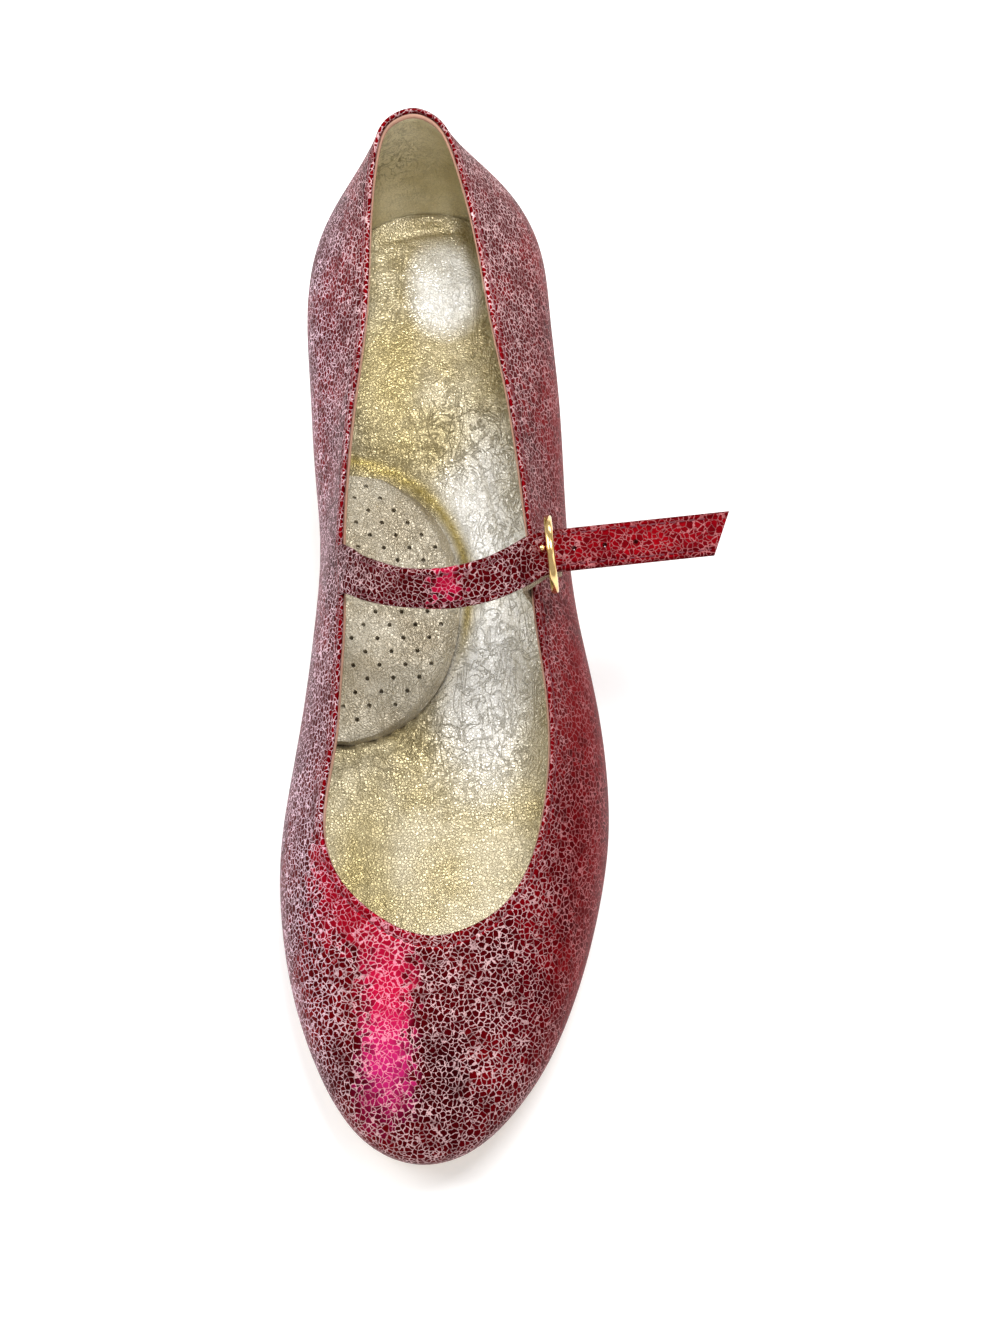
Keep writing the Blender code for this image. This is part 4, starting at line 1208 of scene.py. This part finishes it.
class Graph:
    """Short calls for building a material's nodes."""

    def __init__(self, name, **values):
        self.material = bpy.data.materials.new(name)
        self.material.use_nodes = True
        self.nodes = self.material.node_tree.nodes
        self.links = self.material.node_tree.links
        self.shader = self.nodes["Principled BSDF"]
        for socket, value in values.items():
            self.shader.inputs[socket.replace("_", " ")].default_value = value
        self.place = self.nodes.new("ShaderNodeTexCoord").outputs["Object"]

    def put(self, socket, value):
        if hasattr(value, "is_output"):
            self.links.new(value, socket)
        elif isinstance(value, tuple) and len(value) == 3 and len(socket.default_value) == 4:
            socket.default_value = (*value, 1.0)
        else:
            socket.default_value = value

    def noise(self, scale, detail=2.0, roughness=0.5, vector=None, distortion=0.0, output="Fac"):
        node = self.nodes.new("ShaderNodeTexNoise")
        self.links.new(vector or self.place, node.inputs["Vector"])
        node.inputs["Scale"].default_value = scale
        node.inputs["Detail"].default_value = detail
        node.inputs["Roughness"].default_value = roughness
        node.inputs["Distortion"].default_value = distortion
        return node.outputs[output]

    def voronoi(self, scale, feature="DISTANCE_TO_EDGE", vector=None, output="Distance", randomness=1.0):
        node = self.nodes.new("ShaderNodeTexVoronoi")
        node.feature = feature
        self.links.new(vector or self.place, node.inputs["Vector"])
        node.inputs["Scale"].default_value = scale
        node.inputs["Randomness"].default_value = randomness
        return node.outputs[output]

    def attribute(self, name):
        node = self.nodes.new("ShaderNodeAttribute")
        node.attribute_name = name
        return node.outputs["Fac"]

    def math(self, operation, first, second=None, clamp=False):
        node = self.nodes.new("ShaderNodeMath")
        node.operation = operation
        node.use_clamp = clamp
        self.put(node.inputs[0], first)
        if second is not None:
            self.put(node.inputs[1], second)
        return node.outputs[0]

    def vector(self, operation, first, second):
        node = self.nodes.new("ShaderNodeVectorMath")
        node.operation = operation
        self.put(node.inputs[0], first)
        self.put(node.inputs[1], second)
        return node.outputs[0]

    def between(self, value, low, high, to_low=0.0, to_high=1.0):
        """The value eased from one range to another."""
        node = self.nodes.new("ShaderNodeMapRange")
        node.interpolation_type = "SMOOTHSTEP"
        self.put(node.inputs["Value"], value)
        for socket, number in (("From Min", low), ("From Max", high), ("To Min", to_low), ("To Max", to_high)):
            node.inputs[socket].default_value = number
        return node.outputs["Result"]

    def mix(self, share, first, second):
        node = self.nodes.new("ShaderNodeMix")
        node.data_type = "RGBA"
        self.put(node.inputs["Factor"], share)
        self.put(node.inputs[6], first)
        self.put(node.inputs[7], second)
        return node.outputs[2]

    def split(self, vector=None):
        node = self.nodes.new("ShaderNodeSeparateXYZ")
        self.links.new(vector or self.place, node.inputs[0])
        return node.outputs[0], node.outputs[1], node.outputs[2]

    def stretch(self, x, y, z, vector=None):
        return self.vector("MULTIPLY", vector or self.place, (x, y, z))

    def warp(self, scale, amount, vector=None):
        """The place moved about by noise."""
        noise = self.noise(scale, 1.0, vector=vector, output="Color")
        moved = self.vector("SUBTRACT", noise, (0.5, 0.5, 0.5))
        moved = self.vector("MULTIPLY", moved, (amount, amount, amount))
        return self.vector("ADD", vector or self.place, moved)

    def bump(self, height, strength, distance, under=None):
        node = self.nodes.new("ShaderNodeBump")
        node.inputs["Strength"].default_value = strength
        node.inputs["Distance"].default_value = distance
        self.put(node.inputs["Height"], height)
        if under is not None:
            self.links.new(under, node.inputs["Normal"])
        return node.outputs["Normal"]

    def finish(self, **sockets):
        for socket, value in sockets.items():
            self.put(self.shader.inputs[socket.replace("_", " ")], value)
        return self.material


def soft_spot(g, x, y, centre_x, centre_y, length_x, length_y):
    """A mask that is 1 at the centre, in mm, and falls off over the two lengths."""
    across = g.math("DIVIDE", g.math("SUBTRACT", x, centre_x / 1000), length_x / 1000)
    along = g.math("DIVIDE", g.math("SUBTRACT", y, centre_y / 1000), length_y / 1000)
    away = g.math("ADD", g.math("MULTIPLY", across, across), g.math("MULTIPLY", along, along))
    return g.between(away, 1.0, 0.0)


# The crackle's cells, and its cracks in the middle, on either side and in the bright spots. On either side the
# cracks carry painted light: painted shade on the outer side and a painted reflection on the inner side. The
# bright spots are the bright band and the painted highlights.
CELLS_PER_METRE = 800
NEAR_BLACK = (0.012, 0.0006, 0.0012)
MAROON = (0.044, 0.0008, 0.0018)
CRIMSON = (0.135, 0.0008, 0.0026)
BRIGHT_RED = (0.34, 0.0030, 0.0140)
HIGHLIGHT_PINK = (0.50, 0.006, 0.042)
HIGHLIGHT_MAGENTA = (0.54, 0.018, 0.145)
PALE_MIDDLE = (0.60, 0.385, 0.39)
PALE_SHADE_OUTER = (0.36, 0.115, 0.12)
PALE_REFLECTION_INNER = (0.76, 0.54, 0.62)
PALE_HOT = (0.84, 0.22, 0.34)

# The gold leathers' darker and lighter tones, and the insole's painted light: sheen, shade, and the shade on
# the roll and in the gap
LINING_TONES = ((0.64, 0.55, 0.31), (0.90, 0.82, 0.58))
INSOLE_TONES = ((0.40, 0.33, 0.175), (0.53, 0.465, 0.32))
PAD_TONES = ((0.42, 0.36, 0.26), (0.58, 0.53, 0.43))
SHEEN_SILVER = (0.96, 0.96, 0.95)
SHADED_GOLD = (0.40, 0.31, 0.10)
ROLL_SHADE_GOLD = (0.37, 0.28, 0.075)
GAP_SHADE_BROWN = (0.055, 0.030, 0.012)

# The tones of the other materials
SOLE_TONES = ((0.42, 0.26, 0.13), (0.56, 0.38, 0.22))
METAL_TONES = ((0.80, 0.52, 0.20), (0.88, 0.62, 0.28))
TAPE_TONES = ((0.20, 0.15, 0.09), (0.52, 0.42, 0.30))
RUBBER_TONES = ((0.012, 0.012, 0.012), (0.028, 0.027, 0.026))
FLOOR_TONES = ((0.93, 0.93, 0.93), (0.95, 0.95, 0.95))
EDGE_BROWN = (0.50, 0.27, 0.19)
THREAD_RED = (0.16, 0.02, 0.035)
HOLE_SHADE_BROWN = (0.02, 0.015, 0.01)


def darkened(colour, share):
    return tuple(share * part for part in colour)


def ragged_place(g, cell_colour):
    """The place moved by another amount in each cell, so that a mask made from it follows the cells."""
    jitter = g.vector("SUBTRACT", cell_colour, (0.5, 0.5, 0.5))
    jittered = g.vector("ADD", g.place, g.vector("MULTIPLY", jitter, (0.0042, 0.0060, 0.0)))
    return g.split(g.warp(150, 0.0035, jittered))


def red_cells(g, x, y, outer_side, tone):
    """Cells from near black to crimson, redder on the outer side, with painted shade on the outer half of the
    toe.
    """
    cell = g.mix(g.between(g.noise(36, 3.0, 0.55), 0.36, 0.58, 0.25, 1.0), NEAR_BLACK, MAROON)
    patches = g.between(g.noise(46, 3.0, 0.6), 0.44, 0.64, 0.26, 0.95)
    reds = g.math("ADD", g.math("MULTIPLY", outer_side, 0.45), patches)
    reds = g.math("MULTIPLY", reds, g.between(tone, 0.0, 1.0, 0.35, 1.0), True)
    # Painted shade: the cells darken on the outer half of the toe
    dark = soft_spot(g, x, y, 6, -203, 9, 16)
    reds = g.math("MULTIPLY", reds, g.math("SUBTRACT", 1.0, dark))
    return g.mix(reds, cell, CRIMSON)


def bright_band(g, x, y, low):
    """The bright red band at the inner corner of the throat."""
    band = g.math("MAXIMUM", soft_spot(g, x, y, -12, -168, 17, 9), soft_spot(g, x, y, -20, -158, 8, 12))
    return g.math("MULTIPLY", band, low)


def painted_highlights(g, x, y, z, low):
    """Painted highlights: a painted reflection in a band over the toe, and a small painted highlight on the
    strap.
    """
    ends = g.math("MULTIPLY", g.between(y, -0.164, -0.182), g.between(y, -0.218, -0.200))
    sides = g.math("MULTIPLY", g.between(x, -0.0005, -0.0055), g.between(x, -0.0160, -0.0090))
    toe_highlight = g.math("MULTIPLY", g.math("MULTIPLY", sides, ends), low)
    strap_highlight = g.math("MULTIPLY", soft_spot(g, x, y, 5.0, -99, 4.4, 5.2), g.between(z, 0.058, 0.064))
    return g.math("MAXIMUM", toe_highlight, strap_highlight)


def crackle_leather():
    """Red metallic foil over leather, crazed into small cells with pale pink cracks between them."""
    g = Graph("crackle_leather", Metallic=0.35, Specular_IOR_Level=0.0)
    x, y, z = g.split()
    warped = g.warp(1500, 0.00060, g.warp(420, 0.0011))
    cell_colour = g.voronoi(CELLS_PER_METRE, "F1", warped, "Color")
    tone = g.split(cell_colour)
    width = g.between(g.noise(75), 0.3, 0.7, 0.074, 0.112)
    vein = g.between(g.math("DIVIDE", g.voronoi(CELLS_PER_METRE, vector=warped), width), 1.0, 0.30)
    cell_x, cell_y, cell_z = ragged_place(g, cell_colour)
    outer_side = g.between(cell_x, 0.018, 0.038)
    low = g.between(z, 0.060, 0.050)
    band = bright_band(g, cell_x, cell_y, low)
    # Painted highlights on the toe and on the strap
    painted_highlight = painted_highlights(g, cell_x, cell_y, z, low)
    cell = red_cells(g, cell_x, cell_y, outer_side, tone[0])
    cell = g.mix(g.math("MULTIPLY", band, 0.85), cell, BRIGHT_RED)
    # The painted highlights' colour: bright pink, turning magenta towards the toe's tip
    pink = g.mix(g.between(y, -0.184, -0.204), HIGHLIGHT_PINK, HIGHLIGHT_MAGENTA)
    cell = g.mix(g.math("MULTIPLY", painted_highlight, 0.92), cell, pink)
    rim = g.math("MULTIPLY", g.attribute("rim"), g.between(tone[1], 0.1, 0.9, 0.25, 0.95))
    cell = g.mix(rim, cell, CRIMSON)
    # Painted light in the cracks: duller on the outer side as painted shade, lavender on the inner side as a
    # painted reflection
    pale = g.mix(outer_side, PALE_MIDDLE, PALE_SHADE_OUTER)
    pale = g.mix(g.between(x, -0.012, -0.030), pale, PALE_REFLECTION_INNER)
    # The cracks turn bright pink under the painted highlights, and under the bright band
    warm = g.math("MAXIMUM", g.math("MULTIPLY", painted_highlight, 0.8), g.math("MULTIPLY", band, 0.5))
    pale = g.mix(warm, pale, PALE_HOT)
    strength = g.between(g.noise(230, 3.0, 0.6), 0.30, 0.58, 0.36, 1.0)
    strength = g.math("MULTIPLY", strength, g.between(tone[2], 0.0, 0.5, 0.72, 1.0))
    colour = g.mix(g.math("MULTIPLY", vein, strength), cell, pale)
    normal = g.bump(g.math("SUBTRACT", 1.0, vein), 0.5, 0.00018)
    normal = g.bump(g.noise(240, 3.0), 0.30, 0.0006, normal)
    return g.finish(Base_Color=colour, Normal=normal, Roughness=g.between(vein, 0.0, 1.0, 0.34, 0.52))


def thin_lines(g, noise, width):
    """Lines where the noise crosses its middle."""
    return g.between(g.math("ABSOLUTE", g.math("SUBTRACT", noise, 0.5)), width, 0.0)


def insole_painted_light(g, x, y, colour, metal):
    """Light painted on the insole: a silver painted highlight, painted shade in its hollows, on the roll and
    in the gap.
    """
    # A painted highlight: silver sheen over the outer half of the insole's middle and on the heel seat, with
    # less metal there
    painted_sheen = g.math("MAXIMUM", soft_spot(g, x, y, 15, -80, 19, 58), soft_spot(g, x, y, 4, 4, 12, 17))
    painted_sheen = g.math("MULTIPLY", painted_sheen, g.between(g.noise(60, 4.0, 0.6), 0.25, 0.6, 0.60, 1.0))
    g.finish(Metallic=g.between(painted_sheen, 0.0, 1.0, metal, 0.15))
    colour = g.mix(painted_sheen, colour, SHEEN_SILVER)
    shade = g.math("MAXIMUM", soft_spot(g, x, y, -11, -22, 11, 26), soft_spot(g, x, y, -14, -152, 9, 34))
    shade = g.math("MAXIMUM", shade, soft_spot(g, x, y, 0, -38, 15, 12))
    colour = g.mix(g.math("MULTIPLY", shade, 0.50), colour, SHADED_GOLD)
    # Painted shade on the roll round the pad and in the gap beside it
    colour = g.mix(g.attribute("roll"), colour, ROLL_SHADE_GOLD)
    return g.mix(g.attribute("gap"), colour, GAP_SHADE_BROWN)


def gold_leather(name, tones, roughness, creasing, metal=0.55, with_painted_light=False):
    """Thin metallic leather with a fine grain and soft wrinkles."""
    g = Graph(name, Metallic=metal, Specular_IOR_Level=0.5)
    x, y, z = g.split()
    dark, light = tones
    grain = g.voronoi(1250, vector=g.warp(700, 0.0006))
    patches = g.noise(48, 4.0, 0.6)
    wrinkles = thin_lines(g, g.noise(190, 4.0, 0.55, distortion=1.6), 0.035)
    lines = thin_lines(g, g.noise(130, 3.0, 0.5, g.stretch(1.9, 0.55, 1.0), distortion=1.0), 0.022)
    web = g.math("MAXIMUM", wrinkles, lines)
    web = g.math("MULTIPLY", web, g.between(g.noise(34, 2.0), 0.38, 0.66, 0.15, creasing))
    colour = g.mix(g.between(patches, 0.35, 0.65), dark, light)
    if with_painted_light:
        colour = insole_painted_light(g, x, y, colour, metal)
        web = g.math("MULTIPLY", web, g.between(y, -0.135, -0.105, 0.30, 1.0))
    # Painted shade in the wrinkles
    colour = g.mix(g.math("MULTIPLY", web, 0.40), colour, darkened(dark, 0.35))
    colour = g.mix(g.between(grain, 0.10, 0.0, 0.0, 0.30), colour, darkened(dark, 0.45))
    normal = g.bump(g.between(grain, 0.0, 0.22), 0.40, 0.00018)
    normal = g.bump(g.math("SUBTRACT", 1.0, web), 0.6, 0.0004, normal)
    normal = g.bump(g.noise(330, 4.0, 0.65), 0.40, 0.0007, normal)
    rough = g.between(patches, 0.3, 0.7, roughness - 0.05, roughness + 0.08)
    return g.finish(Base_Color=colour, Normal=normal, Roughness=rough)


def plain_leather(name, colour, roughness):
    g = Graph(name)
    tint = g.mix(g.between(g.noise(300, 4.0, 0.6), 0.3, 0.7), darkened(colour, 0.8), colour)
    normal = g.bump(g.noise(1500, 3.0), 0.25, 0.0002)
    return g.finish(Base_Color=tint, Normal=normal, Roughness=roughness)


def sole_leather():
    """Tan sole leather, lightly scuffed."""
    g = Graph("sole_leather")
    scuffs = g.noise(90, 5.0, 0.7, g.stretch(2.2, 0.7, 1.0))
    tint = g.mix(g.between(scuffs, 0.35, 0.7), *SOLE_TONES)
    normal = g.bump(g.noise(1200, 4.0), 0.3, 0.0002)
    return g.finish(Base_Color=tint, Normal=normal, Roughness=g.between(scuffs, 0.3, 0.7, 0.42, 0.6))


def gold_metal():
    g = Graph("gold_metal", Metallic=1.0)
    tint = g.mix(g.between(g.noise(400, 3.0), 0.35, 0.65), *METAL_TONES)
    rough = g.between(g.noise(900, 4.0, 0.7), 0.35, 0.7, 0.10, 0.22)
    return g.finish(Base_Color=tint, Roughness=rough)


def elastic_tape():
    """Beige tape with fine crossing threads."""
    g = Graph("elastic_tape", Roughness=0.7)
    threads = g.between(g.voronoi(2100, randomness=0.25), 0.0, 0.25)
    return g.finish(Base_Color=g.mix(threads, *TAPE_TONES), Normal=g.bump(threads, 0.6, 0.0002))


def rubber():
    g = Graph("heel_rubber")
    tint = g.mix(g.between(g.noise(700, 4.0), 0.3, 0.7), *RUBBER_TONES)
    return g.finish(Base_Color=tint, Roughness=0.62, Normal=g.bump(g.noise(1600, 3.0), 0.3, 0.0002))


def build_materials():
    return {
        "crackle_leather": crackle_leather(),
        "gold_lining": gold_leather("gold_lining", LINING_TONES, 0.34, 1.6, metal=0.3),
        "insole_gold": gold_leather("insole_gold", INSOLE_TONES, 0.30, 1.0, with_painted_light=True),
        "pad_leather": gold_leather("pad_leather", PAD_TONES, 0.38, 0.45),
        "sole_leather": sole_leather(),
        "edge_leather": plain_leather("edge_leather", EDGE_BROWN, 0.6),
        "thread": plain_leather("thread", THREAD_RED, 0.55),
        "heel_rubber": rubber(),
        "gold_metal": gold_metal(),
        "elastic_tape": elastic_tape(),
        # Dark brown painted shade for the inside of holes
        "hole_shade": plain_leather("hole_shade", HOLE_SHADE_BROWN, 0.8),
    }


PIECE_MATERIALS = {
    "upper_leather": "crackle_leather",
    "upper_lining": "gold_lining",
    "lining_edge": "edge_leather",
    "topline_stitches": "thread",
    "strap_leather": "crackle_leather",
    "strap_stitches": "thread",
    "insole_leather": "insole_gold",
    "arch_cushion": "pad_leather",
    "sole_leather_piece": "sole_leather",
    "heel_cover": "crackle_leather",
    "heel_rubber_piece": "heel_rubber",
    "buckle_ring": "gold_metal",
    "buckle_bar": "gold_metal",
    "buckle_pin": "gold_metal",
    "elastic_ribbed": "elastic_tape",
}


# The stage

# The camera that was fitted to the photo, its focal length in pixels of the photo's height
PHOTO_HEIGHT = 1333
FOCAL_LENGTH = 2504
SENSOR = 36
CAMERA_PLACE = (0.0042, -0.3338, 0.600)
CAMERA_TARGET = (0.0192, -0.0892, 0.0)
SHOE_MIDDLE = (0.0, -0.09, 0.03)
HEEL_SEAT = (0.005, 0.003, 0.03)


def add_floor():
    bpy.ops.mesh.primitive_plane_add(size=6)
    floor = bpy.context.object
    floor.name = "floor"
    g = Graph("floor", Specular_IOR_Level=0.0, Emission_Color=(1, 1, 1, 1), Emission_Strength=0.16)
    tint = g.mix(g.between(g.noise(3.0, 2.0), 0.3, 0.7), *FLOOR_TONES)
    floor.data.materials.append(g.finish(Base_Color=tint, Roughness=0.9))


def hang(name, data, place, target):
    """A lamp at a place, facing its target."""
    lamp = bpy.data.objects.new(name, data)
    lamp.location = place
    lamp.rotation_euler = (Vector(target) - Vector(place)).to_track_quat("-Z", "Y").to_euler()
    bpy.context.scene.collection.objects.link(lamp)


def add_area(name, place, size, power):
    data = bpy.data.lights.new(name, "AREA")
    data.shape = "RECTANGLE"
    data.size, data.size_y = size
    data.energy = power
    hang(name, data, place, SHOE_MIDDLE)


def add_heel_spot():
    """A narrow light on the heel seat, which the photo shows bright."""
    data = bpy.data.lights.new("heel_spot", "SPOT")
    data.energy = 24
    data.spot_size = math.radians(6)
    data.spot_blend = 1.0
    data.shadow_soft_size = 0.03
    hang("heel_spot", data, (0.01, -0.25, 0.85), HEEL_SEAT)


def add_lights():
    world = bpy.data.worlds.new("studio")
    bpy.context.scene.world = world
    world.use_nodes = True
    background = world.node_tree.nodes["Background"]
    background.inputs["Color"].default_value = (1, 1, 1, 1)
    background.inputs["Strength"].default_value = 0.52
    add_area("key", (-0.75, 0.15, 0.95), (0.7, 0.9), 9.5)
    add_area("overhead", (0.12, 0.0, 1.0), (0.30, 0.22), 4.8)
    add_area("back", (0.25, 0.95, 0.75), (0.8, 0.4), 4)
    add_area("fill", (0.9, -0.5, 0.9), (0.9, 0.9), 4)
    add_heel_spot()


def add_camera():
    data = bpy.data.cameras.new("photo_view")
    data.sensor_width = SENSOR
    data.lens = FOCAL_LENGTH / PHOTO_HEIGHT * SENSOR
    camera = bpy.data.objects.new("photo_view", data)
    place = Vector(CAMERA_PLACE)
    forward = (Vector(CAMERA_TARGET) - place).normalized()
    right = forward.cross(Vector((0, 1, 0))).normalized()
    turn = Matrix((right, right.cross(forward), -forward)).transposed()
    camera.matrix_world = Matrix.Translation(place) @ turn.to_4x4()
    bpy.context.scene.collection.objects.link(camera)
    bpy.context.scene.camera = camera


def dress(name, material):
    piece = bpy.data.objects[name]
    if piece.data.materials:
        piece.data.materials[0] = MATERIALS[material]
    else:
        piece.data.materials.append(MATERIALS[material])


MATERIALS = build_materials()
ribs = Ribs()
make_upper(ribs)
make_topline_stitches(ribs)
make_outsole(ribs)
make_heel(ribs)
make_insole(ribs)
make_pad(ribs)
buckle = Buckle(ribs)
make_strap(ribs, buckle)
make_buckle(buckle)
make_prong(buckle)
make_elastic(ribs, buckle)
for piece_name, material_name in PIECE_MATERIALS.items():
    dress(piece_name, material_name)
add_floor()
add_lights()
add_camera()
bpy.context.scene.view_settings.view_transform = "Standard"
